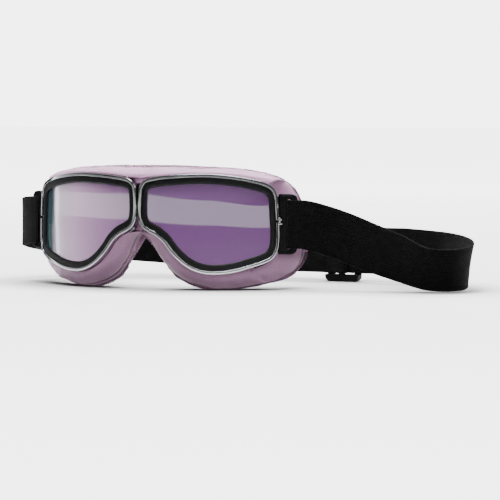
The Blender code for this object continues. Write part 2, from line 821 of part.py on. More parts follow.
low_knuckle = (hinge_bottom, hinge_bottom + knuckle)
mid_knuckle = (hinge_bottom + knuckle + gap, hinge_top - knuckle - gap)
high_knuckle = (hinge_top - knuckle, hinge_top)
build_leaf(left, [mid_knuckle])
build_leaf(right, [(low_knuckle[0] - overrun, low_knuckle[1]), (high_knuckle[0], high_knuckle[1] + overrun)])
pin_head = pin_radius + gap
pin_low, pin_high = hinge_bottom - gap, hinge_top + gap
pin_steps = (
    (pin_low - pin_radius, pin_head), (pin_low, pin_head), (pin_low, pin_radius),
    (pin_high, pin_radius), (pin_high, pin_head), (pin_high + pin_radius, pin_head),
)
add("hinge_pin", *turned(pin_steps, 0, hinge_y, screw_sides), chrome, front)


def build_bridge():
    """The leather between the halves: a strip above the nose, the nose arch and a web behind the hinge."""
    top = int(np.searchsorted(places, top_s)) + 2
    arch = int(np.searchsorted(places, low_s)) - 2
    end = mask_join - gap / 2
    bridge = add("bridge_leather", *across_shape(mask_section, 0, top), leather, front)
    nose_arch = add("nose_arch", *across_shape(mask_section, arch, len(places)), None, front)
    top_thread = add("bridge_stitching", *across_shape(stitch_section, 0, top), thread, front)
    arch_thread = add("arch_stitching", *across_shape(stitch_section, arch, len(places)), thread, front)
    for o in (bridge, nose_arch, top_thread, arch_thread):
        cut_to_bridge(o, end)
    web = box(
        (-web_half_width, web_depth, -bridge_bottom - leather_thickness),
        (web_half_width, web_depth + web_thickness, bridge_top + leather_thickness * 2),
    )
    boolean(bridge, add("nose_web", *web, None, front), "UNION")
    boolean(bridge, nose_arch, "UNION")
    lo = web_depth + web_thickness + gap
    pad = box(
        (-bridge_foam_half, lo, -bridge_bottom + leather_thickness),
        (bridge_foam_half, lo + bridge_foam_depth, bridge_top),
    )
    add("bridge_foam", *pad, foam, front)


build_bridge()


# The strap's route, at mid height and mid thickness, in the stand's frame

def bracket_point(along, off, flip):
    p = standing @ bracket @ Vector((along, 0, off))
    return np.array(p) * (mirror_x if flip else 1)


strap_end = bracket_point(bracket_length, 0, False)
layer = (strap_thickness + gap) / 2
slider_at = np.array([
    strap_end[0] + slider_place_share[0] * strap_reach, strap_end[1] + slider_place_share[1] * strap_back,
    slider_height / 2,
])
turn = math.radians(slider_turn)
slider_way = np.array([-math.cos(turn), -math.sin(turn), 0.0])
run_half = slider_along / 2 + slider_travel


def route():
    """Places, leans and the place of each named stop along the strap's middle."""
    pts = [(*bracket_point(bar_start, 0, False), 0), (*strap_end, 0)]
    for a, b, c, tilt in near_shares:
        x, y = strap_end[0] + a * strap_reach, strap_end[1] + b * strap_back
        pts.append((x, y, c * strap_end[2], tilt))
    first = len(pts) + 1
    for k in (-run_half - slider_along / 2, -run_half, run_half, run_half + slider_along / 2):
        pts.append((*(slider_at + slider_way * k), 0))
    for a, b, c in far_shares:
        pts.append((a * strap_end[0], strap_end[1] + b * strap_back, c * strap_end[2], 0))
    pts += [(*bracket_point(bracket_length, 0, True), 0), (*bracket_point(bar_start, 0, True), 0)]
    curve = spline(pts, False)
    s = lengths(curve[:, :3])
    return curve[:, :3], curve[:, 3], s, s[first * path_samples], s[(first + 1) * path_samples]


route_p, route_lean, route_s, straight_start, straight_end = route()
route_t = unit(np.gradient(route_p, axis=0))
route_length = route_s[-1]


bracket_up = unit(np.array(standing.to_3x3() @ Vector((0, 0, 1))))


def end_share(s):
    """1 on the bracket's bars, easing to 0 a little way off."""
    d = min(s, route_length - s) - bar_width
    return float(smooth(1 - d / (bar_width * 3)))


def route_frame(s):
    """Place, the way up across the strap, and its outward side, at length s."""
    p = at([s], route_s, route_p)[0]
    t = unit(at([s], route_s, route_t))[0]
    tilt = math.radians(np.interp(s, route_s, route_lean))
    up = np.array([0, 0, 1.0]) + (bracket_up - np.array([0, 0, 1.0])) * end_share(s)
    up = unit(up - (up @ t) * t)
    side = np.cross(t, up)
    return p, math.cos(tilt) * up + math.sin(tilt) * side, math.cos(tilt) * side - math.sin(tilt) * up


bar_offset = bracket_thickness / 2 + gap + strap_thickness / 2


def layer_offset(s):
    """How far each layer lies from the route: round the bar at both ends, side by side between."""
    return layer + (bar_offset - layer) * end_share(s)


def on_route(s, sign):
    p, up, side = route_frame(s)
    return p + side * layer_offset(s) * sign, up, side


def round_bar(flip):
    """Places from the inner layer, round the bracket's bar through the slot, to the outer layer."""
    r = gap + strap_thickness / 2
    stops = []
    for sign, first in ((-1, -90), (1, 180)):
        for k in range(wrap_steps + 1):
            a = math.radians(first - 90 * k / wrap_steps)
            x, y = bar_start + r * math.cos(a), sign * bracket_thickness / 2 + r * math.sin(a)
            stops.append((bracket_point(x, y, flip), bracket_up))
    return stops


def ribbon(stops, first_way=None, last_way=None):
    """A webbing strip through places with their way up; its thickness lies square to both."""
    p = np.array([a for a, _ in stops])
    up = np.array([b for _, b in stops])
    t = unit(np.gradient(p, axis=0))
    if first_way is not None:
        t[0] = first_way
    if last_way is not None:
        t[-1] = last_way
    up = unit(up - (up * t).sum(1)[:, None] * t)
    side = np.cross(t, up)
    h, w = strap_width / 2, strap_thickness / 2
    corners = ((-1, -1), (1, -1), (1, 1), (-1, 1))
    sections = [[p[i] + up[i] * h * a + side[i] * w * b for a, b in corners] for i in range(len(p))]
    return sweep(sections, False)


def run_stops(first, last, sign):
    count = max(2, round(abs(last - first) / strap_step) + 1)
    return [on_route(s, sign)[:2] for s in np.linspace(first, last, count)]


split = straight_end + gap
near_stops = run_stops(tail_length, 0, -1)[:-1] + round_bar(False) + run_stops(0, split, 1)[1:]
add("strap_near", *ribbon(near_stops), webbing, stand)

wrap_end = route_length - bar_width - strap_thickness
far_stops = run_stops(split + gap, route_length, 1)[:-1] + round_bar(True)[::-1]
far_stops += run_stops(route_length, wrap_end, -1)[1:]
seam_way = -unit(at([wrap_end], route_s, route_t))[0]
add("strap_far", *ribbon(far_stops, last_way=seam_way), webbing, stand)


# Slider, in its own frame: along the strap, up, and outward, with the strap's outer layer through its middle

slider_mid = straight_start + run_half
side_way = np.cross(slider_way, (0, 0, 1.0))
slider_place = Matrix.Identity(4)
slider_place.col[0] = (*slider_way, 0)
slider_place.col[1] = (0, 0, 1, 0)
slider_place.col[2] = (*side_way, 0)
slider_place.col[3] = (*(slider_at + side_way * layer), 1)

face = strap_thickness / 2 + gap
bar_face = face + strap_thickness + gap
bar_back = bar_face + slider_bar
side_face = face + slider_bar


def adjuster_stops():
    """The doubled layer: from the right bracket along the inside, round the slider's middle bar and back."""
    place = lambda a, b: np.array(slider_place @ Vector((a, 0, b)))
    up = np.array([0, 0, 1.0])
    half = slider_center_bar / 2
    r = gap + strap_thickness / 2
    stops = run_stops(wrap_end - gap, slider_mid + slider_along, -1)
    for a in (slider_along / 2, half, 0, -half):
        stops.append((place(a, -2 * layer), up))
    for c, first in ((-bar_face, 90), (-bar_back, 180)):
        for k in range(wrap_steps + 1):
            t = math.radians(first + 90 * k / wrap_steps)
            stops.append((place(-half + r * math.cos(t), c + r * math.sin(t)), up))
    stops.append((place(half, -bar_back - r), up))
    stops.append((place(half + slider_side_bar, -4 * layer - fine_gap), up))
    stops.append((place(slider_along / 2 - gap, -4 * layer - fine_gap), up))
    return stops


add("strap_adjuster", *ribbon(adjuster_stops(), first_way=seam_way), webbing, stand)

slider = empty("slider_runner", stand, slider_place)
half = slider_along / 2
slot_half = slider_slot / 2
outline = rounded(-half, half, slider_height / 2, slider_corner, True)
buckle = add("slider", *plate(outline, -bar_back, side_face), black_plastic, slider)
inner_half = half - slider_side_bar
mid_half = slider_center_bar / 2
openings = (
    ("passage", (-half - overrun, -bar_face), (half + overrun, face)),
    ("front_window", (-inner_half, -bar_face), (inner_half, side_face + overrun)),
    ("back_window_a", (-half - overrun, -bar_back - overrun), (-mid_half, face)),
    ("back_window_b", (mid_half, -bar_back - overrun), (half + overrun, face)),
)
for name, (a0, b0), (a1, b1) in openings:
    boolean(buckle, add(name, *box((a0, -slot_half, b0), (a1, slot_half, b1)), None, slider), "DIFFERENCE")


# The origin goes under the middle of the whole object

def centre_stand():
    bpy.context.view_layer.update()
    seen = bpy.context.evaluated_depsgraph_get()
    corners = []
    for o in bpy.data.objects:
        if o.type == "MESH" and not o.hide_render:
            e = o.evaluated_get(seen)
            corners += [e.matrix_world @ v.co for v in e.data.vertices]
    lo = Vector([min(c[k] for c in corners) for k in range(3)])
    hi = Vector([max(c[k] for c in corners) for k in range(3)])
    stand.location = (-(lo.x + hi.x) / 2, -(lo.y + hi.y) / 2, -lo.z)
    bpy.context.view_layer.update()
    shift, size = tuple(round(v, 6) for v in stand.location), tuple(round(v, 5) for v in hi - lo)
    print("origin shift", shift, "size", size)


centre_stand()
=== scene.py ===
import json
import math

import bmesh
import bpy
import numpy as np
from mathutils import Matrix, Vector, noise


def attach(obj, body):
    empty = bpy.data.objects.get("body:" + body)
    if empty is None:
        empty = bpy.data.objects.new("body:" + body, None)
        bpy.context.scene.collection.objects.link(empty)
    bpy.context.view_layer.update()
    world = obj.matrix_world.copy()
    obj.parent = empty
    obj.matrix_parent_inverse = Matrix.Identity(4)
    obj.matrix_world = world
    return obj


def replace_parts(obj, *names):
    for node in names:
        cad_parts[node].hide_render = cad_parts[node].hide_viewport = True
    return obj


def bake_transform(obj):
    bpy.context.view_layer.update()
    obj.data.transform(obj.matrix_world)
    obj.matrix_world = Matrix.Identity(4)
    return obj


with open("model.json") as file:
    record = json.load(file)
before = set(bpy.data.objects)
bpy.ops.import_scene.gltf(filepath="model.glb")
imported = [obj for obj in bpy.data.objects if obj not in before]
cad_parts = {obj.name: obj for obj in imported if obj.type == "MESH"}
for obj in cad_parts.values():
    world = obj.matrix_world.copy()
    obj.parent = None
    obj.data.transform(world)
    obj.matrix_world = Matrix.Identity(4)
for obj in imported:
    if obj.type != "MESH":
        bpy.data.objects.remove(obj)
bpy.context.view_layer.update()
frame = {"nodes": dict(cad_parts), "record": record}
print("frame loaded")

leftBody, rightBody, sliderBody = "left_half", "right_half", "slider_body"
foldJoint = next(j for j in frame["record"]["behaviour"]["joints"] if j["name"] == "bridge_fold")
halves = (("left", 1, leftBody), ("right", -1, rightBody))  # a name, the sign of X and a body for each side


# Curves and small sums

def spline(points, closed, samples=24):  # smooth curve through the points
    p = np.array(points, float)
    p = np.vstack([p[-1:], p, p[:2]]) if closed else np.vstack([2 * p[:1] - p[1:2], p, 2 * p[-1:] - p[-2:-1]])
    t = np.linspace(0, 1, samples, endpoint=False)[:, None]
    runs = []
    for a, b, c, d in zip(p, p[1:], p[2:], p[3:]):
        square, cube = 2 * a - 5 * b + 4 * c - d, 3 * b - a - 3 * c + d
        runs.append(0.5 * (2 * b + (c - a) * t + square * t**2 + cube * t**3))
    curve = np.vstack(runs)
    return curve if closed else np.vstack([curve, p[-2:-1]])


def lengthsOf(p):  # the length walked at each point
    return np.concatenate([[0], np.cumsum(np.linalg.norm(np.diff(p, axis=0), axis=1))])


def readAt(s, pathLengths, values):  # values read at some lengths
    v = np.asarray(values, float)
    if v.ndim == 1:
        return np.interp(s, pathLengths, v)
    return np.stack([np.interp(s, pathLengths, v[:, k]) for k in range(v.shape[1])], axis=1)


def unit(v):
    v = np.asarray(v, float)
    return v / np.maximum(np.linalg.norm(v, axis=-1, keepdims=True), 1e-12)


def smoothStep(x):
    x = np.clip(x, 0, 1)
    return x * x * (3 - 2 * x)


def bezier(a, b, c, d, shares):
    t = np.array(shares)[:, None]
    return (1 - t) ** 3 * a + 3 * (1 - t) ** 2 * t * b + 3 * (1 - t) * t**2 * c + t**3 * d


# The front's own frame: u along the lens arc from the nose, z up, w out of the front

lensFront = {
    "wrapRadius": 0.1236, "inner": 0.0058, "outer": 0.0832, "top": 0.0246, "bottom": 0.0251, "clampHeight": 0.0015,
    "outline": [
        (0.010, 0.837), (0.048, 0.894), (0.145, 0.943), (0.326, 0.988), (0.526, 1.0), (0.713, 0.947),
        (0.855, 0.866), (0.950, 0.772), (0.984, 0.650), (0.992, 0.325), (1.0, -0.12), (1.0, -0.438),
        (0.979, -0.637), (0.930, -0.729), (0.829, -0.833), (0.687, -0.956), (0.545, -1.0), (0.442, -0.956),
        (0.346, -0.805), (0.258, -0.55), (0.191, -0.283), (0.114, -0.088), (0.044, 0.024), (0.009, 0.122),
        (0.0, 0.386), (0.003, 0.691),
    ],
}
gap = 0.0003  # clearance between neighbouring pieces
hingePin = {"y": 0.0050, "top": 0.0220, "bottom": 0.0088}

leanAngle = math.atan2(-foldJoint["axis"][1], -foldJoint["axis"][2])
frontTurn = Matrix.Rotation(-leanAngle, 3, "X")
hingeMiddle = Vector((0, hingePin["y"], (hingePin["top"] + hingePin["bottom"]) / 2))
frontStart = Vector(foldJoint["pos_m"]) - frontTurn @ hingeMiddle
turnRows, startRow = np.array(frontTurn), np.array(frontStart)


def toWorld(points, side=1):  # side -1 mirrors to the right half
    return (np.asarray(points, float) * (side, 1, 1)) @ turnRows.T + startRow


def onArc(u, z, w):  # a point of the front bent round the wrap
    turn = np.asarray(u, float) / lensFront["wrapRadius"]
    r = lensFront["wrapRadius"] + np.asarray(w, float)
    return np.stack(np.broadcast_arrays(r * np.sin(turn), lensFront["wrapRadius"] - r * np.cos(turn), z), axis=-1)


gasketWidth = {
    "side": 0.0033, "top": 0.0042, "rise": 0.0018, "back": 0.0035, "crown": 0.0007, "channel": 0.0018,
    "corner": 0.0002, "heel": 0.0004, "lip": 0.00025, "toe": 0.0003, "slope": 0.0002,
}
rimMetal = {
    "face": 0.0020, "wall": 0.0009, "rise": 0.0022, "back": 0.0035, "round": 0.00045, "inside": 0.0002,
    "edge": 0.00015, "slit": 0.0017, "stations": 300,
}


def openingOutline():  # the lens opening from the clamp up and round, its normals and the gasket's width
    width = lensFront["outer"] - lensFront["inner"]
    points = [
        (lensFront["inner"] + a * width, b * (lensFront["top"] if b > 0 else lensFront["bottom"]))
        for a, b in lensFront["outline"]
    ]
    p = spline(points, True, 40)[::-1]
    outside = p[:, 0] > lensFront["inner"] + width / 2
    start = np.argmin(np.where(outside, np.abs(p[:, 1] - lensFront["clampHeight"]), np.inf))
    p = np.roll(p, -start, axis=0)
    t = unit(np.roll(p, -1, axis=0) - np.roll(p, 1, axis=0))
    n = np.stack([t[:, 1], -t[:, 0]], axis=1)
    g = gasketWidth["side"] + (gasketWidth["top"] - gasketWidth["side"]) * n[:, 1] ** 2
    return p, n, g


openLine, openNormal, openWidth = openingOutline()
rimLine = openLine + openNormal * (openWidth + rimMetal["face"])[:, None]
openLengths = lengthsOf(np.vstack([openLine, openLine[:1]]))
openTotal = openLengths[-1]


def ringAt(s):  # the opening, its normal and the gasket's width at some lengths
    s = np.asarray(s) % openTotal
    wrap = lambda v: np.vstack([v, v[:1]])
    return (
        readAt(s, openLengths, wrap(openLine)), unit(readAt(s, openLengths, wrap(openNormal))),
        readAt(s, openLengths, np.append(openWidth, openWidth[0])),
    )


def ringSections(profile, s):  # profile gives offset and rise for a gasket width
    p, n, g = ringAt(s)
    rows = []
    for i in range(len(s)):
        off, w = np.array(profile(g[i])).T
        rows.append(onArc(p[i, 0] + n[i, 0] * off, p[i, 1] + n[i, 1] * off, w))
    return np.array(rows)


def roundedCorner(before, corner, after, radius, steps=4):  # a corner of a profile, rounded
    c = np.array(corner, float)
    a, b = c + unit(np.array(before) - c) * radius, c + unit(np.array(after) - c) * radius
    t = np.linspace(0, 1, steps + 1)[:, None]
    return [tuple(q) for q in (1 - t) ** 2 * a + 2 * (1 - t) * t * c + t**2 * b]


def roundedProfile(points, radii, steps=4):
    out = []
    for i, (p, r) in enumerate(zip(points, radii)):
        out += roundedCorner(points[i - 1], p, points[(i + 1) % len(points)], r, steps) if r else [tuple(p)]
    return out


# Meshes

def finishMesh(o, sharpAngle=40):
    bm = bmesh.new()
    bm.from_mesh(o.data)
    bmesh.ops.recalc_face_normals(bm, faces=bm.faces)
    if bm.calc_volume(signed=True) < 0:
        bmesh.ops.reverse_faces(bm, faces=bm.faces)
    bm.to_mesh(o.data)
    bm.free()
    o.data.shade_smooth()
    o.data.set_sharp_from_angle(angle=math.radians(sharpAngle))
    return o


def link(name, mesh, look=None):
    o = bpy.data.objects.new(name, mesh)
    bpy.context.scene.collection.objects.link(o)
    if look:
        mesh.materials.clear()
        mesh.materials.append(look)
    return o


def skin(name, rows, look, closedAlong=False, sharpAngle=40):  # closed rings of points, UVs in metres
    rows = np.asarray(rows, float)
    count, cols = rows.shape[:2]
    along = lengthsOf(np.vstack([rows.mean(1), rows.mean(1)[:1]]))
    middle = rows[count // 2]
    around = lengthsOf(np.vstack([middle, middle[:1]]))
    faces, uvs = [], []
    for i in range(count if closedAlong else count - 1):
        j = (i + 1) % count
        for k in range(cols):
            m = (k + 1) % cols
            faces.append((i * cols + k, i * cols + m, j * cols + m, j * cols + k))
            uvs += [(along[i], around[k]), (along[i], around[k + 1])]
            uvs += [(along[i + 1], around[k + 1]), (along[i + 1], around[k])]
    if not closedAlong:
        for base in (0, (count - 1) * cols):
            faces.append(tuple(range(base, base + cols)))
            uvs += [(along[0], v) for v in around[:cols]]
    mesh = bpy.data.meshes.new(name)
    mesh.from_pydata([tuple(p) for p in rows.reshape(-1, 3)], [], faces)
    layer = mesh.uv_layers.new(name="UVMap")
    layer.data.foreach_set("uv", np.array(uvs, np.float32).ravel())
    return finishMesh(link(name, mesh, look), sharpAngle)


def applied(o):  # the evaluated object as a plain mesh, with its modifiers gone
    seen = o.evaluated_get(bpy.context.evaluated_depsgraph_get())
    mesh = bpy.data.meshes.new_from_object(seen)
    o.modifiers.clear()
    old, o.data = o.data, mesh
    mesh.name = o.name
    if old.users == 0:
        bpy.data.meshes.remove(old)
    return o


def mouldedCopy(name, node, look, size):  # a moulded piece with softened edges, from its plain solid
    mesh = frame["nodes"][node].data.copy()
    o = link(name, mesh, look)
    bm = bmesh.new()
    bm.from_mesh(mesh)
    bmesh.ops.remove_doubles(bm, verts=bm.verts, dist=1e-6)
    bm.to_mesh(mesh)
    bm.free()
    grid = o.modifiers.new("grid", "REMESH")
    grid.mode = "VOXEL"
    grid.voxel_size = size["voxel"]
    ease = o.modifiers.new("ease", "SMOOTH")
    ease.factor = 0.5
    ease.iterations = size["rounds"]
    bpy.context.view_layer.update()
    applied(o)
    o.data.materials.clear()
    o.data.materials.append(look)
    o.data.shade_smooth()
    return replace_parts(o, node)


def softSolid(points, faces, name, look, bevel=0.0):  # a small solid with softened edges
    mesh = bpy.data.meshes.new(name)
    mesh.from_pydata([tuple(p) for p in points], [], faces)
    bm = bmesh.new()
    bm.from_mesh(mesh)
    bmesh.ops.recalc_face_normals(bm, faces=bm.faces)
    if bevel:
        bmesh.ops.bevel(bm, geom=bm.edges[:], offset=bevel, segments=3, affect="EDGES", profile=0.5)
    bm.to_mesh(mesh)
    bm.free()
    return finishMesh(link(name, mesh, look))


boxFaces = [(0, 1, 3, 2), (4, 6, 7, 5), (0, 4, 5, 1), (2, 3, 7, 6), (0, 2, 6, 4), (1, 5, 7, 3)]


def boxPoints(lo, hi):  # the corners of a box, in the order of boxFaces
    return np.array([(x, y, z) for x in (lo[0], hi[0]) for y in (lo[1], hi[1]) for z in (lo[2], hi[2])], float)


def merged(name, pieces, look):  # several meshes joined as one
    bpy.ops.object.select_all(action="DESELECT")
    for p in pieces:
        p.select_set(True)
    bpy.context.view_layer.objects.active = pieces[0]
    bpy.ops.object.join()
    o = pieces[0]
    o.name = name
    o.data.name = name
    o.data.materials.clear()
    o.data.materials.append(look)
    return o


# Materials

def newLook(name, color, roughness, metallic=0.0):
    look = bpy.data.materials.new(name)
    look.use_nodes = True
    tree = look.node_tree
    shader = tree.nodes["Principled BSDF"]
    shader.inputs["Base Color"].default_value = (*color, 1)
    shader.inputs["Roughness"].default_value = roughness
    shader.inputs["Metallic"].default_value = metallic
    return look, tree, shader


def addNode(tree, kind, inputs=(), **settings):
    n = tree.nodes.new(kind)
    for key, value in settings.items():
        setattr(n, key, value)
    for key, value in dict(inputs).items():
        if isinstance(value, bpy.types.NodeSocket):
            tree.links.new(value, n.inputs[key])
        else:
            n.inputs[key].default_value = value
    return n


def objectPlace(tree):
    return addNode(tree, "ShaderNodeTexCoord").outputs["Object"]


def ramp(tree, factor, stops):
    n = addNode(tree, "ShaderNodeValToRGB", {"Fac": factor})
    while len(n.color_ramp.elements) < len(stops):
        n.color_ramp.elements.new(0.5)
    for element, (place, color) in zip(n.color_ramp.elements, stops):
        element.position = place
        element.color = (*color, 1) if len(color) == 3 else color
    return n.outputs["Color"]


def math2(tree, operation, a, b=0.0, c=0.0):
    return addNode(tree, "ShaderNodeMath", {0: a, 1: b, 2: c}, operation=operation).outputs[0]


def bump(tree, shader, height, look):
    n = addNode(tree, "ShaderNodeBump", {"Height": height, "Distance": look["depth"], "Strength": look["bump"]})
    tree.links.new(n.outputs["Normal"], shader.inputs["Normal"])


def grainOf(tree, place, scale, detail):  # noise between 0 and 1
    return addNode(tree, "ShaderNodeTexNoise", {"Vector": place, "Scale": scale, "Detail": detail}).outputs["Fac"]


def roughen(tree, shader, factor, limits):  # the roughness runs between two limits
    n = addNode(tree, "ShaderNodeMapRange", {"Value": factor, "To Min": limits[0], "To Max": limits[1]})
    tree.links.new(n.outputs["Result"], shader.inputs["Roughness"])


def paint(tree, shader, color):
    tree.links.new(color, shader.inputs["Base Color"])


leatherLook = {  # pores, mottle and the like are a noise's scale and detail
    # hemLineShade: the hem line's dark colour, partly the stitch line, partly painted shade in the pressed-in
    # groove
    "light": (0.605, 0.342, 0.535), "deep": (0.405, 0.194, 0.34), "hemLineShade": (0.11, 0.042, 0.08),
    "grain": 1100.0, "pores": (2600.0, 3.0), "mottle": (45.0, 5.0), "toneShare": 0.35, "creaseShare": 0.55,
    "poreShare": 0.5, "depth": 0.00010, "bump": 0.6, "roughness": 0.42, "roughLimits": (0.34, 0.56),
    "sheen": 0.15, "coat": 0.12, "coatRoughness": 0.35,
}


def makeLeather():
    look, tree, shader = newLook("softLeather", leatherLook["light"], leatherLook["roughness"])
    place = objectPlace(tree)
    mottle = grainOf(tree, place, *leatherLook["mottle"])
    grain = addNode(
        tree, "ShaderNodeTexVoronoi", {"Vector": place, "Scale": leatherLook["grain"]}, feature="DISTANCE_TO_EDGE"
    )
    pores = grainOf(tree, place, *leatherLook["pores"])
    crease = ramp(tree, grain.outputs["Distance"], [(0.0, (0, 0, 0)), (0.22, (1, 1, 1))])
    tone = ramp(tree, mottle, [(0.30, (0, 0, 0)), (0.72, (1, 1, 1))])
    wear = math2(tree, "MULTIPLY", tone, leatherLook["toneShare"])
    wear = math2(tree, "ADD", wear, math2(tree, "MULTIPLY", crease, leatherLook["creaseShare"]))
    color = addNode(tree, "ShaderNodeMix", {"Factor": wear}, data_type="RGBA")
    color.inputs["A"].default_value = (*leatherLook["deep"], 1)
    color.inputs["B"].default_value = (*leatherLook["light"], 1)
    hemLineShade = addNode(tree, "ShaderNodeAttribute", attribute_name="hemLineShade")  # painted shade in the pressed-in hem groove, which also stands for the dark hem stitch line
    hemShaded = addNode(tree, "ShaderNodeMix", {"Factor": hemLineShade.outputs["Fac"]}, data_type="RGBA")
    tree.links.new(color.outputs["Result"], hemShaded.inputs["A"])
    hemShaded.inputs["B"].default_value = (*leatherLook["hemLineShade"], 1)
    paint(tree, shader, hemShaded.outputs["Result"])
    roughen(tree, shader, mottle, leatherLook["roughLimits"])
    height = math2(tree, "ADD", crease, math2(tree, "MULTIPLY", pores, leatherLook["poreShare"]))
    bump(tree, shader, height, leatherLook)
    shader.inputs["Sheen Weight"].default_value = leatherLook["sheen"]
    shader.inputs["Coat Weight"].default_value = leatherLook["coat"]
    shader.inputs["Coat Roughness"].default_value = leatherLook["coatRoughness"]
    return look


threadLook = {
    # two copies of one lilac thread: a darker one with painted shade for the mask's edge, a paler one with painted
    # light for the shaded nose arch
    "shadedMauveThread": ((0.17, 0.085, 0.145), (0.38, 0.22, 0.33)),
    "litPaleThread": ((0.42, 0.25, 0.37), (0.66, 0.45, 0.60)),
    "twist": 900.0, "wander": 2.0, "roughness": 0.85, "shine": 0.15, "depth": 0.00008, "bump": 0.7,
}


def makeThread(name, dark, light):
    look, tree, shader = newLook(name, light, threadLook["roughness"])
    twist = addNode(tree, "ShaderNodeTexWave", {
        "Vector": objectPlace(tree), "Scale": threadLook["twist"], "Distortion": threadLook["wander"],
    }, bands_direction="DIAGONAL").outputs["Fac"]
    paint(tree, shader, ramp(tree, twist, [(0.1, dark), (0.8, light)]))
    bump(tree, shader, twist, threadLook)
    shader.inputs["Specular IOR Level"].default_value = threadLook["shine"]
    return look


chromeLook = {
    "color": (0.34, 0.34, 0.355), "roughness": 0.06, "roughLimits": (0.02, 0.09), "wear": (160.0, 6.0),
    "brush": (2200.0, 2.0), "depth": 0.00001, "bump": 0.25,
}


def makeChrome():
    look, tree, shader = newLook("brightChrome", chromeLook["color"], chromeLook["roughness"], 1.0)
    place = objectPlace(tree)
    roughen(tree, shader, grainOf(tree, place, *chromeLook["wear"]), chromeLook["roughLimits"])
    bump(tree, shader, grainOf(tree, place, *chromeLook["brush"]), chromeLook)
    return look


steelLook = {"color": (0.035, 0.034, 0.036), "roughness": 0.34, "roughLimits": (0.26, 0.48), "wear": (400.0, 5.0)}


def makeSteel():
    look, tree, shader = newLook("darkSteel", steelLook["color"], steelLook["roughness"], 1.0)
    roughen(tree, shader, grainOf(tree, objectPlace(tree), *steelLook["wear"]), steelLook["roughLimits"])
    return look


blackTones = [(0.3, (0.0015, 0.0015, 0.0015)), (0.8, (0.004, 0.004, 0.0045))]  # for rubber and plastic
rubberLook = {
    "color": (0.012, 0.012, 0.013), "roughness": 0.42, "roughLimits": (0.32, 0.55), "fine": (1800.0, 4.0),
    "shine": 0.13, "depth": 0.00004, "bump": 0.5,
}


def makeRubber():
    look, tree, shader = newLook("blackRubber", rubberLook["color"], rubberLook["roughness"])
    fine = grainOf(tree, objectPlace(tree), *rubberLook["fine"])
    roughen(tree, shader, fine, rubberLook["roughLimits"])
    paint(tree, shader, ramp(tree, fine, blackTones))
    shader.inputs["Specular IOR Level"].default_value = rubberLook["shine"]
    bump(tree, shader, fine, rubberLook)
    return look


plasticLook = {
    "color": (0.010, 0.010, 0.011), "roughness": 0.36, "roughLimits": (0.28, 0.50), "fine": (300.0, 4.0),
    "spark": 1500.0, "shine": 0.08, "depth": 0.00005, "bump": 0.35,
}


def makePlastic():
    look, tree, shader = newLook("mouldedPlastic", plasticLook["color"], plasticLook["roughness"])
    place = objectPlace(tree)
    spark = addNode(tree, "ShaderNodeTexVoronoi", {"Vector": place, "Scale": plasticLook["spark"]})
    fine = grainOf(tree, place, *plasticLook["fine"])
    roughen(tree, shader, fine, plasticLook["roughLimits"])
    paint(tree, shader, ramp(tree, fine, blackTones))
    shader.inputs["Specular IOR Level"].default_value = plasticLook["shine"]
    bump(tree, shader, spark.outputs["Distance"], plasticLook)
    return look


lensLook = {
    # face is the coat's own violet; turned, slanted, grazed and last are painted reflection by viewing angle
    "face": (0.26, 0.110, 0.32), "turned": (0.76, 0.46, 0.75), "slanted": (0.66, 0.51, 0.69),
    "grazed": (0.05, 0.09, 0.10), "last": (0.02, 0.04, 0.04), "shine": (0.93, 1.0, 0.96), "ior": 2.3,
    "roughness": 0.03, "roughLimits": (0.006, 0.016), "cloud": (22.0, 2.0), "cloudShare": 0.06,
    "smear": (90.0, 5.0),
}


def makeLens():
    look, tree, shader = newLook("mirrorLens", lensLook["face"], lensLook["roughness"])
    away = addNode(tree, "ShaderNodeLayerWeight", {"Blend": 0.5})
    place = objectPlace(tree)
    cloud = grainOf(tree, place, *lensLook["cloud"])
    soft = math2(tree, "MULTIPLY", math2(tree, "SUBTRACT", cloud, 0.5), lensLook["cloudShare"])
    turn = math2(tree, "ADD", away.outputs["Facing"], soft)
    paint(tree, shader, ramp(tree, turn, [  # the coat's violet seen straight on, then painted reflection: paler lilac on slanting faces, dark teal at grazing
        (0.05, lensLook["face"]), (0.35, lensLook["turned"]), (0.50, lensLook["slanted"]),
        (0.535, lensLook["grazed"]), (0.75, lensLook["last"]),
    ]))
    roughen(tree, shader, grainOf(tree, place, *lensLook["smear"]), lensLook["roughLimits"])
    shader.inputs["IOR"].default_value = lensLook["ior"]
    shader.inputs["Specular Tint"].default_value = (*lensLook["shine"], 1)
    return look


foamLook = {
    "color": (0.02, 0.02, 0.021), "dark": (0.004, 0.004, 0.004), "light": (0.020, 0.020, 0.021), "roughness": 0.9,
    "knit": 1300.0, "fuzz": (500.0, 6.0), "fuzzShare": 0.6, "sheen": 0.08, "depth": 0.00025, "bump": 0.8,
}


def makeFoamCloth():
    look, tree, shader = newLook("foamCloth", foamLook["color"], foamLook["roughness"])
    place = objectPlace(tree)
    knit = addNode(tree, "ShaderNodeTexVoronoi", {"Vector": place, "Scale": foamLook["knit"]})
    fuzz = grainOf(tree, place, *foamLook["fuzz"])
    mix = math2(tree, "ADD", knit.outputs["Distance"], math2(tree, "MULTIPLY", fuzz, foamLook["fuzzShare"]))
    paint(tree, shader, ramp(tree, mix, [(0.2, foamLook["dark"]), (1.0, foamLook["light"])]))
    bump(tree, shader, mix, foamLook)
    shader.inputs["Sheen Weight"].default_value = foamLook["sheen"]
    return look


webbingLook = {
    "rib": 0.0011, "column": 0.0016, "dark": (0.0008, 0.0008, 0.0008), "light": (0.0045, 0.0045, 0.0045),
    "roughness": 0.85, "fuzz": (900.0, 6.0), "ribShift": 0.9, "ribShare": 0.6, "columnShare": 0.4,
    "fuzzShare": 0.8, "level": 0.4, "sheen": 0.03, "sheenRoughness": 0.6, "shine": 0.05, "depth": 0.00022,
    "bump": 0.7,
}


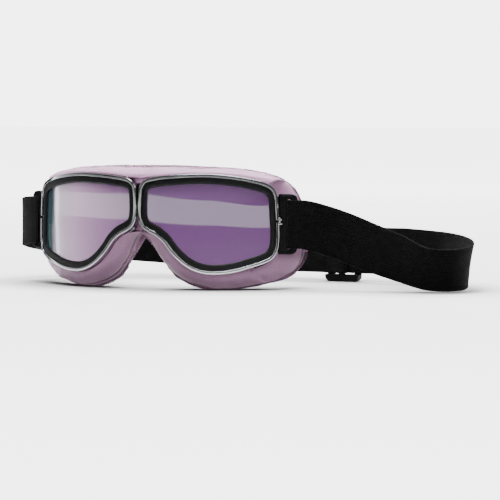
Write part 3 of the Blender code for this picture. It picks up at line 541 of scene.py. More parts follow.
def makeWebbing():
    look, tree, shader = newLook("blackWebbing", webbingLook["dark"], webbingLook["roughness"])
    flat = addNode(tree, "ShaderNodeTexCoord").outputs["UV"]  # in metres, along and across the strap
    ways = addNode(tree, "ShaderNodeSeparateXYZ", {"Vector": flat})
    along = math2(tree, "MULTIPLY", ways.outputs["X"], 2 * math.pi / webbingLook["rib"])
    across = math2(tree, "MULTIPLY", ways.outputs["Y"], 2 * math.pi / webbingLook["column"])
    part = lambda wave, share: math2(tree, "MULTIPLY", wave, webbingLook[share])
    column = math2(tree, "SINE", across)
    rib = math2(tree, "SINE", math2(tree, "ADD", along, part(column, "ribShift")))
    weave = math2(tree, "ADD", part(rib, "ribShare"), part(column, "columnShare"))
    fuzz = grainOf(tree, objectPlace(tree), *webbingLook["fuzz"])
    height = math2(tree, "ADD", weave, part(fuzz, "fuzzShare"))
    level = part(math2(tree, "ADD", height, 1.0), "level")
    paint(tree, shader, ramp(tree, level, [(0.0, webbingLook["dark"]), (1.0, webbingLook["light"])]))
    bump(tree, shader, height, webbingLook)
    shader.inputs["Sheen Weight"].default_value = webbingLook["sheen"]
    shader.inputs["Specular IOR Level"].default_value = webbingLook["shine"]
    shader.inputs["Sheen Roughness"].default_value = webbingLook["sheenRoughness"]
    return look


leather, chrome, rubber = makeLeather(), makeChrome(), makeRubber()
# the darker thread, with painted shade, and the paler one, with painted light
thread, litPaleThread = (makeThread(name, *threadLook[name]) for name in ("shadedMauveThread", "litPaleThread"))
plastic, lensCoat, foamCloth, webbing = makePlastic(), makeLens(), makeFoamCloth(), makeWebbing()
steel = makeSteel()
print("materials ready")


# Rims, gaskets and lenses

def rimProfile(g):
    out, r = g + rimMetal["face"], rimMetal["round"]
    top, low = rimMetal["rise"], rimMetal["rise"] - rimMetal["wall"]
    corners = [
        (out, -rimMetal["back"]), (out, top), (g, top), (g, low), (out - rimMetal["wall"], low),
        (out - rimMetal["wall"], -rimMetal["back"]),
    ]
    edge, inside = rimMetal["edge"], rimMetal["inside"]
    return roundedProfile(corners, [edge, r, r * 0.5, inside, inside, edge])


clampEar = {"thickness": 0.0009, "reach": 0.0024, "front": 0.0011, "back": 0.0018, "round": 0.0002}
clampU, clampZ = openLine[0, 0] + openWidth[0] + rimMetal["face"], openLine[0, 1]
boreAcross, boreUp = clampEar["reach"] / 2, (clampEar["front"] - clampEar["back"]) / 2


def earFrame():  # ways out of the rim, up and out of the front, and the clamp's place
    turn = clampU / lensFront["wrapRadius"]
    axes = np.array([(math.cos(turn), math.sin(turn), 0), (0, 0, 1), (math.sin(turn), -math.cos(turn), 0)])
    return axes, onArc(clampU, clampZ, 0)


def fromEar(points):
    axes, place = earFrame()
    return np.asarray(points) @ axes + place


def makeRim(name, side):
    half = rimMetal["slit"] / 2
    rows = ringSections(rimProfile, np.linspace(half, openTotal - half, rimMetal["stations"]))
    pieces = [skin(name, toWorld(rows, side), chrome, sharpAngle=50)]
    for way in (1, -1):
        lo, hi = sorted((way * half, way * (half + clampEar["thickness"])))
        ear = boxPoints((-rimMetal["wall"] / 2, lo, -clampEar["back"]), (clampEar["reach"], hi, clampEar["front"]))
        pieces.append(softSolid(toWorld(fromEar(ear), side), boxFaces, name + "Ear", chrome, clampEar["round"]))
    return merged(name, pieces, chrome)


clampScrew = {
    "radius": 0.00055, "head": 0.0011, "headHeight": 0.0007, "slot": 0.00028, "sides": 32, "clear": 0.00015,
    "tip": 0.0001, "tipShare": 0.8, "slotFloor": 0.6,
    "button": [(0.0, 0.97), (0.15, 1.0), (0.6, 1.0), (0.9, 0.8), (1.0, 0.5), (1.0, 0.05)],  # shares of the head
    "nut": [(1.0, 0.86), (0.85, 1.0), (0.15, 1.0), (0.0, 0.9)],
}


def turnedPiece(name, profile, sides, side, look, sharpAngle=40):  # heights and radii about the ear's bore
    a = np.arange(sides) * 2 * math.pi / sides
    rows = [[(boreAcross + r * math.cos(t), h, boreUp + r * math.sin(t)) for t in a] for h, r in profile]
    world = toWorld(fromEar(np.array(rows).reshape(-1, 3)), side).reshape(len(rows), sides, 3)
    return skin(name, world, look, sharpAngle=sharpAngle)


def makeClamp(sideName, side):
    seat = rimMetal["slit"] / 2 + clampEar["thickness"] + clampScrew["clear"]
    r, head, h = clampScrew["radius"], clampScrew["head"], clampScrew["headHeight"]
    profile = [(-seat - h - clampScrew["tip"], r * clampScrew["tipShare"]), (-seat - h, r), (seat, r)]
    profile += [(seat + h * a, head * b) for a, b in clampScrew["button"]]
    screw = turnedPiece(sideName + "ClampScrew", profile, clampScrew["sides"], side, chrome)
    groove = boxPoints(
        (boreAcross - head * 1.2, seat + h * clampScrew["slotFloor"], boreUp - clampScrew["slot"] / 2),
        (boreAcross + head * 1.2, seat + h * 1.6, boreUp + clampScrew["slot"] / 2),
    )
    cutter = softSolid(toWorld(fromEar(groove), side), boxFaces, "slotCutter", chrome)
    cut = screw.modifiers.new("slot", "BOOLEAN")
    cut.operation, cut.object = "DIFFERENCE", cutter
    bpy.context.view_layer.update()
    applied(screw)
    bpy.data.objects.remove(cutter)
    nutProfile = [(-seat - h * a, head * b) for a, b in clampScrew["nut"]]
    nut = turnedPiece(sideName + "ClampNut", nutProfile, 6, side, chrome, 20)
    return screw, nut


lensGlass = {"thickness": 0.0020, "columns": 150, "edge": 0.0003, "inset": 0.0001}


def gasketProfile(g):
    outer, lip = g + rimMetal["face"] - rimMetal["wall"] - gap, rimMetal["rise"] - rimMetal["wall"] - gap
    rise, c = gasketWidth["rise"], gasketWidth["crown"]
    channel, thick, corner = gasketWidth["channel"], lensGlass["thickness"] + gap, gasketWidth["corner"]
    corners = [
        (0, -gasketWidth["back"]), (outer, -gasketWidth["back"]), (outer, lip), (g - gap, lip), (g - gap, rise),
        (0, rise - gasketWidth["slope"]), (0, gap), (channel, gap), (channel, -thick), (0, -thick),
    ]
    radii = [gasketWidth["heel"], corner, corner, 0, c, c * 1.5, gasketWidth["lip"], 0, 0, gasketWidth["toe"]]
    return roundedProfile(corners, radii, 5)


def makeLensPiece(name, side):
    edge = openLine + openNormal * (gasketWidth["channel"] - gap)
    lo, hi = np.argmin(edge[:, 0]), np.argmax(edge[:, 0])
    a, b = sorted((lo, hi))
    one, two = edge[a : b + 1], np.vstack([edge[b:], edge[: a + 1]])
    upper, lower = (one, two) if one[:, 1].mean() > two[:, 1].mean() else (two, one)
    mid, half = (edge[lo, 0] + edge[hi, 0]) / 2, (edge[hi, 0] - edge[lo, 0]) / 2 - lensGlass["inset"]
    u = mid - half * np.cos(np.linspace(0, math.pi, lensGlass["columns"]))
    order = lambda c: c[np.argsort(c[:, 0])]
    top, low = np.interp(u, *order(upper).T), np.interp(u, *order(lower).T)
    thick, r = lensGlass["thickness"], lensGlass["edge"]
    rows = []
    for x, zt, zl in zip(u, top, low):
        front = [(zl, -r), (zl + r, 0), (zt - r, 0), (zt, -r)]
        spot = np.array(front + [(zt, r - thick), (zt - r, -thick), (zl + r, -thick), (zl, r - thick)])
        rows.append(onArc(x, spot[:, 0], spot[:, 1]))
    return skin(name, toWorld(rows, side), lensCoat, sharpAngle=30)


backFrameSize = {"voxel": 0.00045, "rounds": 4}
for sideName, side, body in halves:
    rim = makeRim(sideName + "Rim", side)
    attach(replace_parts(rim, sideName + "_rim"), body)
    screw, nut = makeClamp(sideName, side)
    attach(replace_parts(screw, sideName + "_clamp_screw"), body)
    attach(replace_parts(nut, sideName + "_clamp_nut"), body)
    seats = np.linspace(0, openTotal, rimMetal["stations"] + 1)[:-1]
    ring = toWorld(ringSections(gasketProfile, seats), side)
    gasket = skin(sideName + "Gasket", ring, rubber, closedAlong=True, sharpAngle=50)
    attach(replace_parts(gasket, sideName + "_gasket"), body)
    lens = makeLensPiece(sideName + "Lens", side)
    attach(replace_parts(lens, sideName + "_lens"), body)
    backFrame = mouldedCopy(sideName + "BackFrame", sideName + "_back_frame", plastic, backFrameSize)
    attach(backFrame, body)
    frame["nodes"][sideName + "_hinge_leaf"].material_slots[0].material = steel
frame["nodes"]["hinge_pin"].material_slots[0].material = steel
print("rims, gaskets and lenses ready")


# Back frame ribs: small upright ribs on the strap bracket, above the strap

strapSize = {  # offBar: how far the sewn end stands off the bracket's bar
    "width": 0.0300, "thickness": 0.0012, "reach": 0.1000, "back": 0.1000, "step": 0.0015, "tail": 0.0280,
    "offBar": 0.0007, "barSteps": 8,
}
bracketSize = {
    "angle": 22.0, "length": 0.0117, "rail": 0.0030, "thickness": 0.0028, "front": 0.0006, "clearance": 0.0007,
    "bar": 0.0044,
}
ribSize = {
    "width": 0.0005, "height": 0.0021, "proud": 0.0004, "pitch": 0.0012, "count": 7, "start": 0.0022,
    "rail": 0.48,
}


def bracketAxes():  # ways along, up and out of the bracket, and its start on the rim's outer side
    a, u = math.radians(bracketSize["angle"]), rimLine[:, 0].max()
    clear = gap + bracketSize["thickness"] / 2 * abs(math.sin(u / lensFront["wrapRadius"] - a))
    start = onArc(u + clear, 0.0, -bracketSize["front"] - bracketSize["thickness"] / 2)
    return np.array([(math.cos(a), math.sin(a), 0), (0, 0, 1), (math.sin(a), -math.cos(a), 0)]), start


bracketRows, bracketStart = bracketAxes()
barStart = bracketSize["length"] - bracketSize["bar"]


def bracketPoint(along, up, off, side=1):
    return toWorld(np.array([along, up, off]) @ bracketRows + bracketStart, side)


def newTree(name, inputs):
    tree = bpy.data.node_groups.new(name, "GeometryNodeTree")
    tree.interface.new_socket("Geometry", in_out="INPUT", socket_type="NodeSocketGeometry")
    for label, value in inputs.items():
        kind = "NodeSocketFloat" if isinstance(value, float) else "NodeSocketInt"
        tree.interface.new_socket(label, in_out="INPUT", socket_type=kind).default_value = value
    tree.interface.new_socket("Geometry", in_out="OUTPUT", socket_type="NodeSocketGeometry")
    return tree, tree.nodes.new("NodeGroupInput"), tree.nodes.new("NodeGroupOutput")


def wayOf(tree, name):  # a named vector on each point
    n = addNode(tree, "GeometryNodeInputNamedAttribute", {"Name": name}, data_type="FLOAT_VECTOR")
    return n.outputs["Attribute"]


def threadTube(tree, entry, line):  # a round thread along a line
    ring = addNode(tree, "GeometryNodeCurvePrimitiveCircle", {"Resolution": 6, "Radius": entry.outputs["Thread"]})
    curves = {"Curve": line.outputs["Curve"], "Profile Curve": ring.outputs["Curve"]}
    return addNode(tree, "GeometryNodeCurveToMesh", {**curves, "Fill Caps": True}).outputs["Mesh"]


def finishTree(tree, entry, final, piece, look):  # instances of piece on the points, turned by their ways
    points = addNode(tree, "GeometryNodeMeshToPoints", {"Mesh": entry.outputs["Geometry"]})
    turn = addNode(
        tree, "FunctionNodeAxesToRotation",
        {"Primary Axis": wayOf(tree, "along"), "Secondary Axis": wayOf(tree, "outward")},
        primary_axis="X", secondary_axis="Y",
    )
    grow = addNode(tree, "FunctionNodeRandomValue", {"Seed": entry.outputs["Seed"]}, data_type="FLOAT")
    tree.links.new(entry.outputs["Smallest"], grow.inputs[2])
    tree.links.new(entry.outputs["Largest"], grow.inputs[3])
    each = addNode(tree, "GeometryNodeInstanceOnPoints", {
        "Points": points.outputs["Points"], "Instance": piece, "Rotation": turn.outputs["Rotation"],
        "Scale": grow.outputs[1],
    })
    real = addNode(tree, "GeometryNodeRealizeInstances", {"Geometry": each.outputs["Instances"]})
    smooth = addNode(tree, "GeometryNodeSetShadeSmooth", {"Geometry": real.outputs["Geometry"]})
    coat = addNode(tree, "GeometryNodeSetMaterial", {"Geometry": smooth.outputs["Geometry"], "Material": look})
    tree.links.new(coat.outputs["Geometry"], final.inputs["Geometry"])


def scatter(name, places, along, outward, tree, values, look):  # one mesh from a point for each place
    mesh = bpy.data.meshes.new(name)
    mesh.from_pydata([tuple(p) for p in places], [], [])
    for label, ways in (("along", along), ("outward", outward)):
        stored = mesh.attributes.new(label, "FLOAT_VECTOR", "POINT")
        stored.data.foreach_set("vector", np.array(ways, np.float32).ravel())
    o = link(name, mesh)
    nodes = o.modifiers.new("repeat", "NODES")
    nodes.node_group = tree
    sockets = {i.name: i.identifier for i in tree.interface.items_tree if i.in_out == "INPUT"}
    for label, value in values.items():
        nodes[sockets[label]] = value
    bpy.context.view_layer.update()
    applied(o)
    o.data.materials.clear()
    o.data.materials.append(look)
    return o


def blockTree(look):  # a small block: a rib
    tree, entry, final = newTree("ribRow", {
        "Width": 0.0005, "Height": 0.002, "Depth": 0.0008, "Seed": 1, "Smallest": 1.0, "Largest": 1.0,
    })
    size = addNode(tree, "ShaderNodeCombineXYZ")
    for label, way in (("Width", "X"), ("Depth", "Y"), ("Height", "Z")):
        tree.links.new(entry.outputs[label], size.inputs[way])
    corners = {"Vertices X": 2, "Vertices Y": 2, "Vertices Z": 2}
    block = addNode(tree, "GeometryNodeMeshCube", {"Size": size.outputs["Vector"], **corners})
    finishTree(tree, entry, final, block.outputs["Mesh"], look)
    return tree


ribTree = blockTree(plastic)
slotHeight = strapSize["width"] + 2 * bracketSize["clearance"]
for sideName, side, body in halves:
    spots, front = [], bracketSize["thickness"] / 2
    height = slotHeight / 2 + bracketSize["rail"] * ribSize["rail"]
    for k in range(ribSize["count"]):
        for way in (1, -1):
            spots.append(bracketPoint(ribSize["start"] + k * ribSize["pitch"], way * height, front, side))
    outward = (np.array([0, 0, 1.0]) @ bracketRows * (side, 1, 1)) @ turnRows.T
    upWay = np.array([0, 0, 1.0]) @ turnRows.T
    count = len(spots)
    values = {"Width": ribSize["width"], "Height": ribSize["height"], "Depth": 2 * ribSize["proud"], "Seed": 1}
    along = np.cross(outward, upWay)
    ribs = scatter(sideName + "BracketRibs", spots, [along] * count, [outward] * count, ribTree, values, plastic)
    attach(ribs, body)
print("bracket ribs ready")


# Mask: one piece of soft leather from behind the rims to the edge that meets the face

maskSize = {
    "join": 0.0130, "tuck": 0.0030, "puff": 0.0020, "wall": 0.0036, "top": 0.0278, "bottom": 0.0055,
    "halfWidth": 0.0900, "depth": 0.0537, "edgeTop": 0.0360, "edgeBottom": 0.0410, "lift": 0.66,
    "skin": 0.0012, "above": 0.0188, "below": 0.0360, "blend": 0.0050, "margin": 0.0016, "flange": 0.0018,
    "frame": 0.0025, "stations": 190, "outer": 34, "inner": 12, "floorGap": 0.0002, "joinSteps": 40,
    "evened": 18, "crowded": 1.5, "byBend": 0.6,
}
puffs = {
    "wide": 0.0009, "wideScale": 42.0, "fine": 0.00035, "fineScale": 150.0, "hemAt": 0.0036, "hemDeep": 0.0009,
    "hemWide": 0.0011, "headFrom": 0.002, "edgeFrom": -0.001, "ease": 0.006, "turn": 0.0006,
    "creaseDeep": 0.0005, "creaseReach": 0.016, "creaseAcross": 1400, "creaseBack": 260, "wideSeed": 3.1,
    "fineSeed": 9.2, "fineStretch": (1, 1, 1.6), "turnAt": (0.12, 0.35, 0.65, 0.88),
}
edgeShares = (  # the rear edge: share of the path, then across, back and up as shares of the mask's size
    (0.000, 0.000, 0.262, 0.962), (0.110, 0.278, 0.317, 0.968), (0.230, 0.578, 0.507, 0.943),
    (0.300, 0.744, 0.660, 0.880), (0.342, 0.844, 0.770, 0.798), (0.378, 0.922, 0.875, 0.640),
    (0.415, 0.968, 0.950, 0.368), (0.472, 0.992, 0.990, 0.056), (0.515, 1.000, 1.000, -0.220),
    (0.552, 0.992, 0.990, -0.488), (0.586, 0.958, 0.940, -0.668), (0.626, 0.890, 0.850, -0.817),
    (0.676, 0.767, 0.690, -0.905), (0.724, 0.644, 0.560, -0.962), (0.777, 0.500, 0.440, -1.000),
    (0.825, 0.345, 0.345, -0.935), (0.873, 0.215, 0.295, -0.785), (0.920, 0.120, 0.245, -0.530),
    (0.962, 0.050, 0.190, -0.275), (1.000, 0.000, 0.155, -0.150),
)


def maskPath():  # from the top of the nose round the temple to the nose arch
    byNose = np.nonzero(rimLine[:, 0] <= maskSize["join"])[0]
    above, below = byNose[0] - 1, byNose[-1] + 1
    run = np.vstack([rimLine[: above + 1][::-1], rimLine[below:][::-1]])
    t = np.linspace(0, 1, maskSize["joinSteps"])[:, None]

    def across(a, b, slope):
        reach = abs(b[0] - a[0])
        level = np.array([reach, 0])
        whole = (2 * t**3 - 3 * t**2 + 1) * a + (t**3 - 2 * t**2 + t) * level
        return whole + (3 * t**2 - 2 * t**3) * b + (t**3 - t**2) * slope * reach

    first = across(np.array([0, maskSize["top"]]), run[0], unit(run[3] - run[0]))
    last = across(np.array([0, -maskSize["bottom"]]), run[-1], unit(run[-4] - run[-1]))[::-1]
    path = np.vstack([first[:-1], run, last[1:]])
    return path, len(first) - 1, len(first) - 1 + above, len(first) + len(run) - 2


maskLine, topIndex, clampIndex, lowIndex = maskPath()
maskLengths = lengthsOf(maskLine)
maskTangent = unit(np.gradient(maskLine, axis=0))
maskNormal = np.stack([-maskTangent[:, 1], maskTangent[:, 0]], axis=1)
window = 2 * maskSize["evened"] + 1
for _ in range(2):
    padded = [np.pad(maskNormal[:, k], maskSize["evened"], "edge") for k in (0, 1)]
    maskNormal = unit(np.stack([np.convolve(p, np.ones(window) / window, "valid") for p in padded], axis=1))
maskNormal[0], maskNormal[-1] = (0, 1), (0, -1)
clampLength, topLength, lowLength = maskLengths[clampIndex], maskLengths[topIndex], maskLengths[lowIndex]
maskEnd = maskLengths[-1]
edgeTable = np.array(edgeShares)
edgeUp = np.where(edgeTable[:, 3] > 0, maskSize["edgeTop"], maskSize["edgeBottom"])
edgeLine = spline(
    np.stack([
        edgeTable[:, 1] * maskSize["halfWidth"], edgeTable[:, 2] * maskSize["depth"], edgeTable[:, 3] * edgeUp,
        edgeTable[:, 0],
    ], axis=1), False, 40,
)
edgeLine[:, 3] = np.maximum.accumulate(edgeLine[:, 3])


def maskCurves(s, outerShares, innerShares):  # foot, outer curve, inner curve, backward and wall ways
    u, z = readAt([s], maskLengths, maskLine)[0]
    n = unit(readAt([s], maskLengths, maskNormal))[0]
    d, b = s - clampLength, maskSize["blend"]
    q = smoothStep((d + maskSize["above"] + b) / (b - maskSize["margin"]))
    q = float(q * smoothStep((maskSize["below"] + b - d) / (b - maskSize["margin"])))
    mix = lambda x, y: x + (y - x) * q
    seat = -gasketWidth["back"] - gap
    deep = seat - maskSize["flange"] - 2 * gap
    onNose = max(topLength - s, s - lowLength) / b
    early = smoothStep((d + maskSize["above"] + 2 * b) / b) * smoothStep((maskSize["below"] + 2 * b - d) / b)
    tuck = float(-maskSize["tuck"] + (maskSize["tuck"] + gap) * max(early, smoothStep(1 + onNose)))
    start = mix(gap, rimMetal["wall"] + gap)
    place = lambda off, w: onArc(u + n[0] * off, z + n[1] * off, w)
    lipFront, lipBack = mix(seat, deep), mix(seat - maskSize["skin"], deep - maskSize["skin"])
    foot = [place(-gap / 2, lipBack), place(tuck, lipBack), place(tuck, lipFront), place(start, lipFront)]
    head = place(start, mix(-maskSize["puff"], deep + gap))
    behind = min(seat - maskSize["skin"] - gap - maskSize["frame"], lipBack - maskSize["skin"])
    innerStart = place(-gap / 2, behind)
    edge = readAt([s / maskEnd], edgeLine[:, 3], edgeLine[:, :3])[0]
    out = unit(place(0.002, 0) - place(0, 0))
    run = edge - head
    height = max(run @ out, 0)
    back = run - height * out
    outer = bezier(head, head + out * height * maskSize["lift"], edge - back / 2, edge, outerShares)
    along = edge - innerStart
    backWay = unit(along)
    wallWay = unit(out - (out @ backWay) * backWay)
    innerEdge = edge - wallWay * maskSize["wall"]
    inner = bezier(innerEdge, innerEdge - along / 3, innerStart + along / 4, innerStart, innerShares)
    return foot, outer, inner, backWay, wallWay


def noiseAt(p, scale, seed):
    return noise.noise(Vector(p) * scale + Vector((seed, seed * 1.7, -seed)))


def maskRow(s, side):  # one section, puffed, creased and hemmed
    outerShares = 1 - (1 - np.linspace(0, 1, maskSize["outer"])) ** maskSize["crowded"]
    foot, outer, inner, backWay, wallWay = maskCurves(s, outerShares, np.linspace(0, 1, maskSize["inner"]))
    lengthsBack = lengthsOf(outer[::-1])[::-1]
    whole = lengthsBack[0]
    mirror = np.array((side, 1, 1))
    nose = math.exp(-((min(s, maskEnd - s) / puffs["creaseReach"]) ** 2))
    for k in range(len(outer)):
        fromEdge, fromHead = lengthsBack[k], whole - lengthsBack[k]
        hold = float(smoothStep((fromHead - puffs["headFrom"]) / puffs["ease"]))
        hold = hold * float(smoothStep((fromEdge - puffs["edgeFrom"]) / puffs["ease"]))
        p = outer[k] * mirror
        wave = noiseAt(p, puffs["wideScale"], puffs["wideSeed"]) * puffs["wide"]
        wave = wave + noiseAt(p * puffs["fineStretch"], puffs["fineScale"], puffs["fineSeed"]) * puffs["fine"]
        fold = math.sin(p[0] * puffs["creaseAcross"] + p[1] * puffs["creaseBack"])
        crease = -puffs["creaseDeep"] * nose * max(0.0, fold) ** 3
        hem = -puffs["hemDeep"] * math.exp(-(((fromEdge - puffs["hemAt"]) / puffs["hemWide"]) ** 2))
        outer[k] = outer[k] + wallWay * ((wave + crease) * hold + hem)
    turn = [  # the rolled edge, from the outer leather to the inner
        outer[-1] - wallWay * maskSize["wall"] * f + backWay * puffs["turn"] * math.sin(math.pi * f)
        for f in puffs["turnAt"]
    ]
    # painted shade of the hem line, on the same band as the pressed-in groove
    hemLineShade = np.exp(-(((lengthsBack - puffs["hemAt"]) / puffs["hemWide"]) ** 2))
    hemLineShades.append(np.concatenate([np.zeros(len(foot)), hemLineShade, np.zeros(len(turn) + len(inner))]))
    return np.vstack([foot, outer, turn, inner])


def maskStations(count):  # lengths of the sections, closer where the path bends
    bend = np.linalg.norm(np.diff(maskNormal, axis=0), axis=1)
    pace = np.diff(maskLengths) / maskEnd + maskSize["byBend"] * bend / bend.sum()
    measure = np.concatenate([[0], np.cumsum(pace)])
    return np.interp(np.linspace(0, measure[-1], count), measure, maskLengths)


hemLineShades = []
stations = maskStations(maskSize["stations"])
leftRows = [toWorld(maskRow(s, 1)) for s in stations]
rightRows = [toWorld(maskRow(s, -1), -1) for s in stations[::-1][1:-1]]
maskRows = np.array(leftRows + rightRows)
maskRows[:, :, 2] = np.maximum(maskRows[:, :, 2], maskSize["floorGap"])
mask = skin("leatherMask", maskRows, leather, closedAlong=True, sharpAngle=60)
# the hem line's painted shade, kept on the mask's points
hemShadeLayer = mask.data.attributes.new("hemLineShade", "FLOAT", "POINT")
hemShadeLayer.data.foreach_set("value", np.array(hemLineShades, np.float32).ravel())
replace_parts(mask, "left_mask", "right_mask", "bridge_leather")
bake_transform(mask)

webSize = {
    "half": 0.0060, "flare": 0.0055, "flareAt": 0.0190, "lowFlareAt": 0.0065, "flareRise": 0.0040,
    "front": 0.0084, "thick": 0.0018, "rows": 40, "columns": 25, "bulge": 0.0005, "low": 0.0047, "above": 0.0010,
    "forward": 0.0050, "between": 0.0054, "over": 0.0046, "topFrom": 0.0223, "lowFrom": 0.0078, "ease": 0.0022,
    "ripple": 0.0002, "rippleTurns": 1500,
}


def makeWeb():  # leather behind the hinge, which comes forward between the rims at both ends
    rows = []
    for z in np.linspace(-webSize["low"], maskSize["top"] + webSize["above"], webSize["rows"]):
        wide = smoothStep((z - webSize["flareAt"]) / webSize["flareRise"])
        wide = max(float(wide), float(smoothStep((webSize["lowFlareAt"] - z) / webSize["flareRise"])))
        half = webSize["half"] + webSize["flare"] * wide
        atTop = float(smoothStep((z - webSize["topFrom"]) / webSize["ease"]))
        ends = atTop + float(smoothStep((webSize["lowFrom"] - z) / webSize["ease"]))
        between = webSize["between"] + webSize["over"] * atTop
        across = np.linspace(-1, 1, webSize["columns"])
        ripple = webSize["ripple"] * np.sin(z * webSize["rippleTurns"] + across * 2)
        bulge = webSize["bulge"] * (1 - across**2) + ripple
        bulge = bulge + webSize["forward"] * ends * np.maximum(1 - (across * half / between) ** 2, 0)
        front = np.stack([across * half, webSize["front"] + gap - bulge, np.full(webSize["columns"], z)], axis=1)
        back = front[::-1] + (0, webSize["thick"], 0)
        rows.append(np.vstack([front, back]))
    return skin("noseWeb", toWorld(np.array(rows)), leather)


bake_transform(makeWeb())
print("mask ready")


# Overlock stitches over the mask's rear edge, and the welt under them

stitchSize = {
    "pitch": 0.0019, "thread": 0.00050, "front": 0.0032, "inner": 0.0012, "clear": 0.00055, "bow": 0.0045,
    "archBow": 0.0036, "bridgeHalf": 0.0135, "welt": 0.0011, "weltWide": 1.25, "weltSides": 10, "weltStep": 0.0016,
    "sink": 0.0007, "away": 0.0012, "floorGap": 0.00005, "samples": 400,
}


def wrapTree(look):  # a thread that goes over the edge like a C
    tree, entry, final = newTree("overlock", {
        "Thread": 0.0003, "Front": 0.0024, "Inner": 0.0012, "Half": 0.002, "Bow": 0.0042, "Slant": 0.0004,
        "Seed": 1, "Smallest": 0.94, "Largest": 1.06,
    })

    def spot(x, y, z):  # None leaves a way at 0
        n = addNode(tree, "ShaderNodeCombineXYZ")
        for label, value in (("X", x), ("Y", y), ("Z", z)):
            if value is not None:
                tree.links.new(value, n.inputs[label])
        return n.outputs["Vector"]

    low = math2(tree, "MULTIPLY", entry.outputs["Half"], -1.0)
    forward = math2(tree, "MULTIPLY", entry.outputs["Front"], -1.0)
    inside = math2(tree, "MULTIPLY", entry.outputs["Inner"], -1.0)
    line = addNode(tree, "GeometryNodeCurvePrimitiveBezierSegment", {
        "Start": spot(entry.outputs["Slant"], entry.outputs["Half"], forward),
        "Start Handle": spot(None, entry.outputs["Half"], entry.outputs["Bow"]),
        "End Handle": spot(None, low, entry.outputs["Bow"]), "End": spot(None, low, inside), "Resolution": 9,
    })
    finishTree(tree, entry, final, threadTube(tree, entry, line), look)
    return tree


overlock = wrapTree(thread)


def edgeAt(s):  # the mask's rear edge with its backward and wall ways
    _, outer, _, backWay, wallWay = maskCurves(s, (0.98, 1), (0, 1))
    return outer[-1], backWay, wallWay


def weltRow(s):  # one ring of the bead that the threads lie on
    edge, backWay, wallWay = edgeAt(s)
    middle = edge - wallWay * (maskSize["wall"] / 2 + stitchSize["sink"]) + backWay * stitchSize["away"]
    turns = np.arange(stitchSize["weltSides"]) * 2 * math.pi / stitchSize["weltSides"]
    ring = np.cos(turns)[:, None] * wallWay * stitchSize["weltWide"] + np.sin(turns)[:, None] * backWay
    return middle + stitchSize["welt"] * ring


def stitchRun(name, first, last, sides, body, *nodes, look=thread, bow=stitchSize["bow"]):
    # threads and welt between two lengths of the edge: on one side, which rides a body, or across the nose
    fine = np.linspace(first, last, stitchSize["samples"])
    edges = np.array([edgeAt(s)[0] for s in fine])
    walked = lengthsOf(edges)
    whole = walked[-1]
    count = max(2, round(whole / stitchSize["pitch"]))
    at = np.interp((np.arange(count) + 0.5) / count * whole, walked, fine)
    spots, along, outward = [], [], []
    for side in sides:
        flip = np.array((side, 1, 1))
        for s in at:
            edge, backWay, wallWay = edgeAt(s)
            middle = edge - wallWay * maskSize["wall"] / 2
            spots.append(toWorld(middle, side))
            out, back = (wallWay * flip) @ turnRows.T, (backWay * flip) @ turnRows.T
            outward.append(out)
            along.append(np.cross(out, back))
    values = {
        "Thread": stitchSize["thread"], "Front": stitchSize["front"], "Inner": stitchSize["inner"],
        "Half": maskSize["wall"] / 2 + stitchSize["clear"], "Bow": bow, "Seed": 5,
    }
    threads = scatter(name + "Threads", spots, along, outward, overlock, values, look)
    rows = [weltRow(s) for s in np.linspace(first, last, max(12, int(whole / stitchSize["weltStep"])))]
    if len(sides) == 2:
        flipped = [r * (-1, 1, 1) for r in rows]
        rows = flipped[:0:-1] + rows if first == 0 else rows + flipped[::-1][1:]
    world = toWorld(np.array(rows).reshape(-1, 3), sides[0]).reshape(len(rows), -1, 3)
    welt = skin(name + "Welt", world, look)
    o = merged(name, [threads, welt], look)
    co = np.empty(len(o.data.vertices) * 3)
    o.data.vertices.foreach_get("co", co)
    co = co.reshape(-1, 3)
    co[:, 2] = np.maximum(co[:, 2], stitchSize["floorGap"])
    o.data.vertices.foreach_set("co", co.ravel())
    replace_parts(o, *nodes)
    if len(sides) == 2:
        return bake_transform(o)
    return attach(o, body)


def edgeReach(x, fromTop):  # the length at which the edge passes x
    nose, temple = (0, maskEnd / 3) if fromTop else (maskEnd, maskEnd * 2 / 3)
    fine = np.linspace(nose, temple, stitchSize["samples"])
    xs = np.array([edgeAt(s)[0][0] for s in fine])
    return fine[np.argmax(xs > x)]


topReach, archReach = (edgeReach(stitchSize["bridgeHalf"], fromTop) for fromTop in (True, False))
stitchRun("leftStitches", topReach, archReach, (1,), leftBody, "left_edge_stitching")
stitchRun("rightStitches", topReach, archReach, (-1,), rightBody, "right_edge_stitching")
stitchRun("bridgeStitches", 0, topReach, (1, -1), None, "bridge_stitching")
# the arch's stitches take the paler thread: painted light where the arch is in shade
stitchRun(
    "archStitches", archReach, maskEnd, (1, -1), None, "arch_stitching",
    look=litPaleThread, bow=stitchSize["archBow"],
)
print("edge stitches ready")


# Foam pads inside the mask, and a small one behind the nose


foamSize = {
    "thick": 0.0060, "inset": 0.0006, "clear": 0.0008, "front": 0.55, "round": 5.0, "swell": 0.45, "least": 0.12,
    "columns": 16, "ends": 0.007, "endLeast": 0.15, "stations": 240, "floorGap": 0.0003,
}
bridgePad = {"half": 0.0080, "depth": 0.0040, "low": 0.0023, "round": 0.0016}


